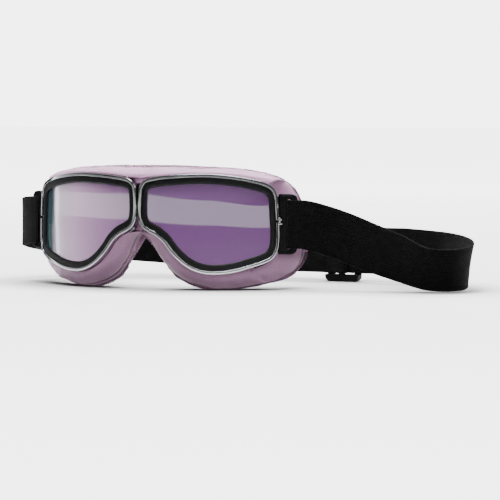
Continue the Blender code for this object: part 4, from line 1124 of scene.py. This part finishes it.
def foamRow(s, fullness):  # one section of a pad, on the inside of the mask's wall
    shares = np.linspace(0, 1, foamSize["columns"])
    _, _, inner, _, wallWay = maskCurves(s, (0, 1), shares)
    way = unit(np.gradient(inner, axis=0))
    inward = unit((way @ wallWay)[:, None] * way - wallWay)
    skinSide = (inner + inward * foamSize["clear"])[:-2]
    skinSide[0] = skinSide[0] + way[0] * foamSize["inset"]
    across = np.linspace(-1, 1, len(skinSide))
    swell = np.maximum(1 - np.abs(across) ** foamSize["round"], 0) ** foamSize["swell"]
    swell = swell * (1 - foamSize["least"]) + foamSize["least"]
    taper = np.linspace(1, foamSize["front"], len(skinSide))
    lift = (foamSize["thick"] * taper * swell * fullness)[:, None]
    return np.vstack([skinSide, (skinSide + inward[:-2] * lift)[::-1]])


def makeFoam(name, side):
    whole = np.linspace(0, maskEnd, foamSize["stations"])
    stretch = [s for s in whole if foamRow(s, 1.0)[:, 0].min() > maskSize["join"] + gap]  # clear of the nose
    rows = []
    for s in stretch:
        near = min(1, min(s - stretch[0], stretch[-1] - s) / foamSize["ends"])
        rounded = math.sqrt(max(0.0, 1 - (1 - near) ** 2))
        rows.append(foamRow(s, foamSize["endLeast"] + (1 - foamSize["endLeast"]) * rounded))
    world = toWorld(np.array(rows).reshape(-1, 3), side).reshape(len(rows), -1, 3)
    world[:, :, 2] = np.maximum(world[:, :, 2], foamSize["floorGap"])
    return skin(name, world, foamCloth, sharpAngle=75)


for sideName, side, body in halves:
    pad = makeFoam(sideName + "FoamPad", side)
    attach(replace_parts(pad, sideName + "_foam_pad"), body)
padLow = webSize["front"] + webSize["thick"] + gap
bridgeBox = boxPoints(
    (-bridgePad["half"], padLow, -bridgePad["low"]),
    (bridgePad["half"], padLow + bridgePad["depth"], maskSize["top"]),
)
bridgeFoam = softSolid(toWorld(bridgeBox), boxFaces, "bridgeFoam", foamCloth, bridgePad["round"])
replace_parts(bridgeFoam, "bridge_foam")
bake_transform(bridgeFoam)
print("foam ready")


# Strap: from the left bracket round the loop to the right one, doubled where it is adjusted

sliderSize = {
    "along": 0.0240, "rail": 0.0047, "clearance": 0.0008, "bar": 0.0016, "side": 0.0050, "middle": 0.0040,
    "travel": 0.0200, "turn": -5.0, "place": (0.018, 0.780), "tail": 0.0205, "voxel": 0.00038, "rounds": 3,
    "past": 0.0010, "thinner": 0.84, "tailStops": 22, "turnSteps": 7,
}
webbingEdge = {
    "across": 21, "roll": 5, "round": 0.8, "thin": 0.12, "ripple": 0.00025, "rippleScale": 60.0, "seed": 5.0,
}
nearShares = (  # from the left bracket: across, back and up as shares, and the lean in degrees
    (0.075, 0.030, 0.975, 0.0), (0.258, 0.095, 0.825, 0.0), (0.448, 0.110, 0.650, 2.0),
    (0.634, 0.095, 0.505, 10.0), (0.798, 0.070, 0.373, 22.0), (0.920, 0.065, 0.346, 28.0),
    (0.992, 0.100, 0.352, 26.0), (1.030, 0.190, 0.377, 16.0), (1.008, 0.315, 0.405, 6.0),
    (0.952, 0.440, 0.425, 2.0), (0.868, 0.560, 0.445, 0.0), (0.770, 0.650, 0.462, 0.0),
    (0.675, 0.706, 0.475, 0.0),
)
farShares = (  # from the slider to the right bracket
    (0.270, 0.825, 0.530), (-0.110, 0.810, 0.565), (-0.490, 0.750, 0.610), (-0.820, 0.640, 0.675),
    (-1.040, 0.480, 0.760), (-1.150, 0.300, 0.850), (-1.160, 0.160, 0.920), (-1.105, 0.060, 0.975),
)
origin = np.array([frontStart.x, frontStart.y, 0.0])
sliderHeight = strapSize["width"] + 2 * (sliderSize["clearance"] + sliderSize["rail"])
strapEnd = bracketPoint(bracketSize["length"], 0, 0) - origin
layer = (strapSize["thickness"] + gap) / 2
strapReach, strapBack = strapSize["reach"], strapSize["back"]
sliderAt = np.array([
    strapEnd[0] + sliderSize["place"][0] * strapReach, strapEnd[1] + sliderSize["place"][1] * strapBack,
    sliderHeight / 2,
])
sliderTurn = math.radians(sliderSize["turn"])
sliderWay = np.array([-math.cos(sliderTurn), -math.sin(sliderTurn), 0.0])
runHalf = sliderSize["along"] / 2 + sliderSize["travel"]


def strapRoute():  # the strap's middle line with its lean, and where it is straight for the slider
    points = [(*(bracketPoint(barStart, 0, 0) - origin), 0), (*strapEnd, 0)]
    for a, b, c, tilt in nearShares:
        points.append((strapEnd[0] + a * strapReach, strapEnd[1] + b * strapBack, c * strapEnd[2], tilt))
    first = len(points) + 1
    for k in (-runHalf - sliderSize["along"] / 2, -runHalf, runHalf, runHalf + sliderSize["along"] / 2):
        points.append((*(sliderAt + sliderWay * k), 0))
    for a, b, c in farShares:
        points.append((a * strapEnd[0], strapEnd[1] + b * strapBack, c * strapEnd[2], 0))
    points += [(*(bracketPoint(k, 0, 0, -1) - origin), 0) for k in (bracketSize["length"], barStart)]
    curve = spline(points, False, 40)
    s = lengthsOf(curve[:, :3])
    return curve[:, :3] + origin, curve[:, 3], s, s[first * 40], s[(first + 1) * 40]


routeLine, routeLean, routeLengths, straightStart, straightEnd = strapRoute()
routeTangent = unit(np.gradient(routeLine, axis=0))
routeEnd = routeLengths[-1]
bracketUp = unit(np.array([0, 0, 1.0]) @ turnRows.T)
barOffset = bracketSize["thickness"] / 2 + gap + strapSize["thickness"] / 2


def onRoute(s, sign):  # the strap's middle and its way up, on one of the two layers
    d = min(s, routeEnd - s) - bracketSize["bar"]
    share = float(smoothStep(1 - d / (bracketSize["bar"] * 3)))
    p, t = readAt([s], routeLengths, routeLine)[0], unit(readAt([s], routeLengths, routeTangent))[0]
    tilt = math.radians(np.interp(s, routeLengths, routeLean))
    up = np.array([0, 0, 1.0]) + (bracketUp - np.array([0, 0, 1.0])) * share
    up = unit(up - (up @ t) * t)
    side = np.cross(t, up)
    leaned, out = math.cos(tilt) * up + math.sin(tilt) * side, math.cos(tilt) * side - math.sin(tilt) * up
    return p + out * (layer + (barOffset - layer) * share) * sign, leaned


def roundBar(side):  # the turn of the webbing round a bracket's bar
    r, steps, stops = gap + strapSize["thickness"] / 2, strapSize["barSteps"], []
    for sign, first in ((-1, -90), (1, 180)):
        for k in range(steps + 1):
            a = math.radians(first - 90 * k / steps)
            x = barStart + (r + strapSize["offBar"]) * math.cos(a)
            y = sign * bracketSize["thickness"] / 2 + r * math.sin(a)
            stops.append((bracketPoint(x, 0, y, side), bracketUp))
    return stops


def runStops(first, last, sign):
    count = max(2, round(abs(last - first) / strapSize["step"]) + 1)
    return [onRoute(s, sign) for s in np.linspace(first, last, count)]


def ribbon(name, stops, thickness, look):  # webbing with rounded selvedges
    p, up = np.array([a for a, b in stops]), np.array([b for a, b in stops])
    keep = np.concatenate([[True], np.linalg.norm(np.diff(p, axis=0), axis=1) > 1e-5])
    p, up = p[keep], up[keep]
    t = unit(np.gradient(p, axis=0))
    up = unit(up - (up * t).sum(1)[:, None] * t)
    side = np.cross(t, up)
    h, w = strapSize["width"] / 2, thickness / 2
    corner, thin = w * webbingEdge["round"], webbingEdge["thin"]
    across = np.linspace(-1, 1, webbingEdge["across"]) * (h - corner)
    rolls = np.radians(np.linspace(0, 180, webbingEdge["roll"]))[1:-1]
    outline = [(a, w * (1 - thin * (1 - abs(a) / h > thin))) for a in across]  # thinner inside the edges
    outline += [(h - corner + corner * math.sin(r), w * math.cos(r)) for r in rolls]
    outline = np.array(outline + [(-a, -b) for a, b in outline])
    waves = [noiseAt(q, webbingEdge["rippleScale"], webbingEdge["seed"]) for q in p]
    ripple = np.array(waves) * webbingEdge["ripple"]
    rows = p[:, None] + up[:, None] * outline[None, :, :1]
    rows = rows + side[:, None] * (outline[None, :, 1:] + ripple[:, None, None])
    return skin(name, rows, look, sharpAngle=60)


split = straightEnd + gap
nearStops = runStops(strapSize["tail"], 0, -1)[:-1] + roundBar(1) + runStops(0, split, 1)[1:]
strapNear = ribbon("strapNear", nearStops, strapSize["thickness"], webbing)
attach(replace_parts(strapNear, "strap_near"), leftBody)
wrapEnd = routeEnd - bracketSize["bar"] - strapSize["thickness"]
farStops = runStops(split + gap, routeEnd, 1)[:-1] + roundBar(-1)[::-1] + runStops(routeEnd, wrapEnd, -1)[1:]
strapFar = ribbon("strapFar", farStops, strapSize["thickness"], webbing)
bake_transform(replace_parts(strapFar, "strap_far"))

sideWay = np.cross(sliderWay, (0, 0, 1.0))
face = strapSize["thickness"] / 2 + gap
barFace = face + strapSize["thickness"] + gap
barBack = barFace + sliderSize["bar"]


def sliderPoint(a, b):  # a along the strap, b out of it
    return sliderAt + origin + sideWay * layer + sliderWay * a + sideWay * b


def loopStops():  # round the slider's middle bar, from a tail that lies along the strap
    up, half, r = np.array([0, 0, 1.0]), sliderSize["middle"] / 2, gap + strapSize["thickness"] / 2
    tail, steps = np.linspace(sliderSize["tail"], -half, sliderSize["tailStops"]), sliderSize["turnSteps"]
    stops = [(sliderPoint(a, -2 * layer), up) for a in tail]
    for c, first in ((-barFace, 90), (-barBack, 180)):
        for k in range(steps + 1):
            t = math.radians(first + 90 * k / steps)
            stops.append((sliderPoint(-half + r * math.cos(t), c + r * math.sin(t)), up))
    under = -4 * layer - gap / 2
    last = sliderSize["along"] / 2 - gap
    for a, b in ((half, -barBack - r), (half + sliderSize["side"], under), (last, under)):
        stops.append((sliderPoint(a, b), up))
    return stops


sliderMiddle = straightStart + runHalf
runs = runStops(wrapEnd - gap, sliderMiddle + sliderSize["past"], -1)
adjuster = ribbon("strapAdjuster", runs, strapSize["thickness"], webbing)
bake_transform(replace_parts(adjuster, "strap_adjuster"))
loop = ribbon("adjusterLoop", loopStops(), strapSize["thickness"] * sliderSize["thinner"], webbing)
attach(loop, sliderBody)
sliderPiece = mouldedCopy("strapSlider", "slider", plastic, sliderSize)
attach(sliderPiece, sliderBody)


tackSize = {
    "pitch": 0.0022, "rows": (0.0205, 0.0245), "inset": 0.0020, "face": 0.0001, "sink": 0.0003, "bow": 0.0005,
    "long": 0.75,
}


def stapleTree(look):  # a short stitch that dips at both ends
    tree, entry, final = newTree("tack", {
        "Long": 0.0018, "Thread": 0.00022, "Seed": 3, "Smallest": 0.92, "Largest": 1.05,
    })
    half = math2(tree, "MULTIPLY", entry.outputs["Long"], 0.5)
    ends = []
    for way in (-1.0, 1.0):
        reach = math2(tree, "MULTIPLY", half, way)
        n = addNode(tree, "ShaderNodeCombineXYZ", {"X": reach, "Y": -tackSize["sink"]})
        ends.append(n.outputs["Vector"])
    line = addNode(tree, "GeometryNodeCurveQuadraticBezier", {"Start": ends[0], "End": ends[1], "Resolution": 7})
    line.inputs["Middle"].default_value = (0, tackSize["bow"], 0)
    finishTree(tree, entry, final, threadTube(tree, entry, line), look)
    return tree


tacks = stapleTree(webbing)


def tackRows(name):  # bar tacks across both layers of the near strap's sewn end
    spots, along, outward = [], [], []
    for s in tackSize["rows"]:
        for sign in (1, -1):
            p, up = onRoute(s, sign)
            t = unit(readAt([s], routeLengths, routeTangent))[0]
            out = np.cross(t, unit(up - (up @ t) * t)) * sign
            reach = strapSize["width"] / 2 - tackSize["inset"]
            for h in np.arange(-reach, reach + 1e-6, tackSize["pitch"]):
                spots.append(p + up * h + out * (strapSize["thickness"] / 2 - tackSize["face"]))
                along.append(up)
                outward.append(out)
    values = {"Long": tackSize["pitch"] * tackSize["long"], "Seed": 3}
    return scatter(name, spots, along, outward, tacks, values, webbing)


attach(tackRows("nearTacks"), leftBody)
print("strap ready")


# Floor, lights and camera

stageSize = {
    "floor": 12.0, "near": 0.5, "glow": 4.0, "glowFrom": 0.15, "glowTo": 1.8,
    "contact": 0.055, "contactFrom": 0.38, "contactSamples": 12, "fibre": (90.0, 4.0),
}
view = {
    "turn": 25.0, "rise": 2.7, "distance": 1.5, "across": 0.0692, "down": 0.0169, "focal": 174.2, "sensor": 36.0,
    "clip": (0.05, 50), "pixels": 500,
}
paper, tree, shader = newLook("paleFloor", (0.9, 0.9, 0.9), 0.75)
fibre = grainOf(tree, objectPlace(tree), *stageSize["fibre"])
tone = ramp(tree, fibre, [(0.3, (0.885, 0.885, 0.89)), (0.7, (0.915, 0.915, 0.92))])
shader.inputs["Emission Color"].default_value = (1, 1, 1, 1)
spread = addNode(tree, "ShaderNodeVectorMath", {0: objectPlace(tree)}, operation="LENGTH").outputs["Value"]
lit = addNode(tree, "ShaderNodeMapRange", {  # the floor glows brighter far from the goggles, like a lit backdrop
    "Value": spread, "From Min": stageSize["glowFrom"], "From Max": stageSize["glowTo"],
    "To Min": stageSize["near"], "To Max": stageSize["glow"],
})
hidden = addNode(  # the contact shadow
    tree, "ShaderNodeAmbientOcclusion", {"Distance": stageSize["contact"]}, samples=stageSize["contactSamples"]
)
openShare = addNode(tree, "ShaderNodeMapRange", {
    "Value": hidden.outputs["AO"], "From Min": stageSize["contactFrom"], "To Min": 0.0,
})
dimmed = addNode(tree, "ShaderNodeVectorMath", {0: tone, 1: openShare.outputs["Result"]}, operation="MULTIPLY")
paint(tree, shader, dimmed.outputs["Vector"])
shown = math2(tree, "MULTIPLY", lit.outputs["Result"], openShare.outputs["Result"])
tree.links.new(shown, shader.inputs["Emission Strength"])
half = stageSize["floor"]
floor = bpy.data.meshes.new("floor")
floor.from_pydata([(-half, -half, 0), (half, -half, 0), (half, half, 0), (-half, half, 0)], [], [(0, 1, 2, 3)])
floorPiece = link("floor", floor, paper)
floorPiece.visible_diffuse = False

turn, rise = math.radians(view["turn"]), math.radians(view["rise"])
lookWay = Vector((-math.sin(turn) * math.cos(rise), math.cos(turn) * math.cos(rise), -math.sin(rise)))
rightWay = Vector((math.cos(turn), math.sin(turn), 0))
upWay = rightWay.cross(lookWay)
cameraPlace = frontStart - lookWay * view["distance"]
aim = frontStart + rightWay * view["across"] - upWay * view["down"]


def newLight(name, place, target, size, energy):
    data = bpy.data.lights.new(name, "AREA")
    data.shape, data.size, data.size_y = "RECTANGLE", size[0], size[1]
    data.energy = energy
    o = bpy.data.objects.new(name, data)
    bpy.context.scene.collection.objects.link(o)
    o.location = place
    o.rotation_euler = (Vector(target) - Vector(place)).to_track_quat("-Z", "Y").to_euler()
    return o


lampTable = {
    "overhead": {"place": (0.1, -0.05, 1.5), "target": (0, 0, 0), "size": (1.6, 0.5), "energy": 84},
    "leftPanel": {"place": (-1.50, -0.06, 0.50), "target": (0, -0.06, 0.05), "size": (0.46, 1.0), "energy": 10},
    "rightPanel": {"place": (1.0, -1.5, 0.9), "target": (0.03, 0, 0.03), "size": (0.9, 0.7), "energy": 17},
}
lamps = {name: newLight(name, **lamp) for name, lamp in lampTable.items()}
lamps["leftPanel"].visible_glossy = False


def tint(level):
    return (level, level, level)


bandSize = {  # the pale band that the lenses mirror: angle, low and high edge
    "distance": 1.2, "strength": 5.0, "steps": 60,
    "table": [
        (-104, 0.010, 0.038), (-85, 0.018, 0.045), (-65, 0.025, 0.052), (-31, 0.033, 0.062), (-19, 0.034, 0.064),
        (25, 0.029, 0.056), (49, 0.021, 0.045), (60, 0.018, 0.042),
    ],
}
glowSize = {"distance": 1.25, "top": 1.1, "first": -112.0, "last": -40.0, "strength": 5.0, "steps": 60}
cardSize = {"near": 0.22, "far": 18.0, "height": 0.0006, "first": -112, "last": 75, "shade": 0.02, "steps": 90}
glowStops = [  # by the share of the way from glowSize first to last
    (0.0, tint(0.0)), (0.20, (0.01, 0.022, 0.022)), (0.24, (0.03, 0.07, 0.07)), (0.255, tint(0.8)),
    (0.273, tint(1.0)), (0.294, tint(0.60)), (0.32, tint(0.32)), (0.389, tint(0.20)), (0.486, tint(0.125)),
    (0.583, tint(0.07)), (0.79, tint(0.025)), (1.0, tint(0.0)),
]
bandStops = [
    (0.0, tint(0.006)), (0.228, (0.004, 0.012, 0.012)), (0.245, tint(0.6)), (0.26, tint(1.0)),
    (0.294, tint(0.95)), (0.315, tint(0.55)), (0.345, tint(0.38)), (0.5, tint(0.32)), (0.9, (0.30, 0.31, 0.30)),
    (1.0, (0.29, 0.315, 0.28)),
]


def ringStrip(name, look, angles, inner, outer):  # a strip round the goggles, between pairs of radius and height
    points = []
    inner, outer = (np.broadcast_to(edge, (len(angles), 2)) for edge in (inner, outer))
    for k, a in enumerate(np.radians(angles)):
        for r, z in (inner[k], outer[k]):
            points.append((frontStart.x + r * math.sin(a), frontStart.y - r * math.cos(a), z))
    faces = [(2 * k, 2 * k + 1, 2 * k + 3, 2 * k + 2) for k in range(len(angles) - 1)]
    mesh = bpy.data.meshes.new(name)
    mesh.from_pydata(points, [], faces)
    shares = np.clip((np.asarray(angles) - glowSize["first"]) / (glowSize["last"] - glowSize["first"]), 0, 1)
    around = mesh.attributes.new("around", "FLOAT", "POINT")
    around.data.foreach_set("value", np.repeat(shares, 2).astype(np.float32))
    o = link(name, mesh, look)
    o.visible_camera = o.visible_diffuse = o.visible_shadow = False


def litAround(name, shade, strength, stops):  # light that changes round the goggles
    look, tree, shader = newLook(name, tint(shade), 1.0)
    around = addNode(tree, "ShaderNodeAttribute", attribute_name="around").outputs["Fac"]
    tree.links.new(ramp(tree, around, stops), shader.inputs["Emission Color"])
    shader.inputs["Emission Strength"].default_value = strength
    return look


turns, lows, highs = np.array(bandSize["table"]).T
angles = np.linspace(turns[0], turns[-1], bandSize["steps"])
lower, upper = ([(bandSize["distance"], np.interp(a, turns, z)) for a in angles] for z in (lows, highs))
ringStrip("paleBand", litAround("paleBand", 0.0, bandSize["strength"], bandStops), angles, lower, upper)
glow = litAround("sideGlow", 0.0, glowSize["strength"], glowStops)
angles = np.linspace(glowSize["first"], glowSize["last"], glowSize["steps"])
ringStrip("sideGlow", glow, angles, (glowSize["distance"], 0.0), (glowSize["distance"], glowSize["top"]))
card = litAround("darkCard", cardSize["shade"], glowSize["strength"], glowStops)
angles = np.linspace(cardSize["first"], cardSize["last"], cardSize["steps"])
ringStrip("darkCard", card, angles, (cardSize["near"], cardSize["height"]), (cardSize["far"], cardSize["height"]))

skySize = {"strength": 5.2, "behind": 0.30, "from": 0.80}  # white to the camera, dimmer to what mirrors it
world = bpy.data.worlds.new("softWorld")
world.use_nodes = True
sky = world.node_tree
way = addNode(sky, "ShaderNodeTexCoord").outputs["Generated"]
ahead = addNode(sky, "ShaderNodeVectorMath", {0: way, 1: tuple(lookWay)}, operation="DOT_PRODUCT")
facing = math2(sky, "MULTIPLY_ADD", ahead.outputs["Value"], 0.5, 0.5)
front = [(0.0, (0.032, 0.032, 0.033)), (0.50, (0.055, 0.055, 0.057))]
shown = ramp(sky, facing, front + [(skySize["from"], tint(1.0))])
soft = ramp(sky, facing, front + [(skySize["from"], tint(skySize["behind"]))])
seen = addNode(sky, "ShaderNodeLightPath").outputs["Is Camera Ray"]
pale = addNode(sky, "ShaderNodeMix", {"Factor": seen}, data_type="RGBA")
sky.links.new(soft, pale.inputs["A"])
sky.links.new(shown, pale.inputs["B"])
sky.links.new(pale.outputs["Result"], sky.nodes["Background"].inputs["Color"])
sky.nodes["Background"].inputs["Strength"].default_value = skySize["strength"]
bpy.context.scene.world = world

cameraData = bpy.data.cameras.new("photoView")
cameraData.lens, cameraData.sensor_width = view["focal"], view["sensor"]
cameraData.clip_start, cameraData.clip_end = view["clip"]
camera = bpy.data.objects.new("photoView", cameraData)
bpy.context.scene.collection.objects.link(camera)
camera.location = cameraPlace
camera.rotation_euler = (aim - cameraPlace).to_track_quat("-Z", "Y").to_euler()
bpy.context.scene.camera = camera
bpy.context.scene.render.resolution_x = bpy.context.scene.render.resolution_y = view["pixels"]

print("scene ready")
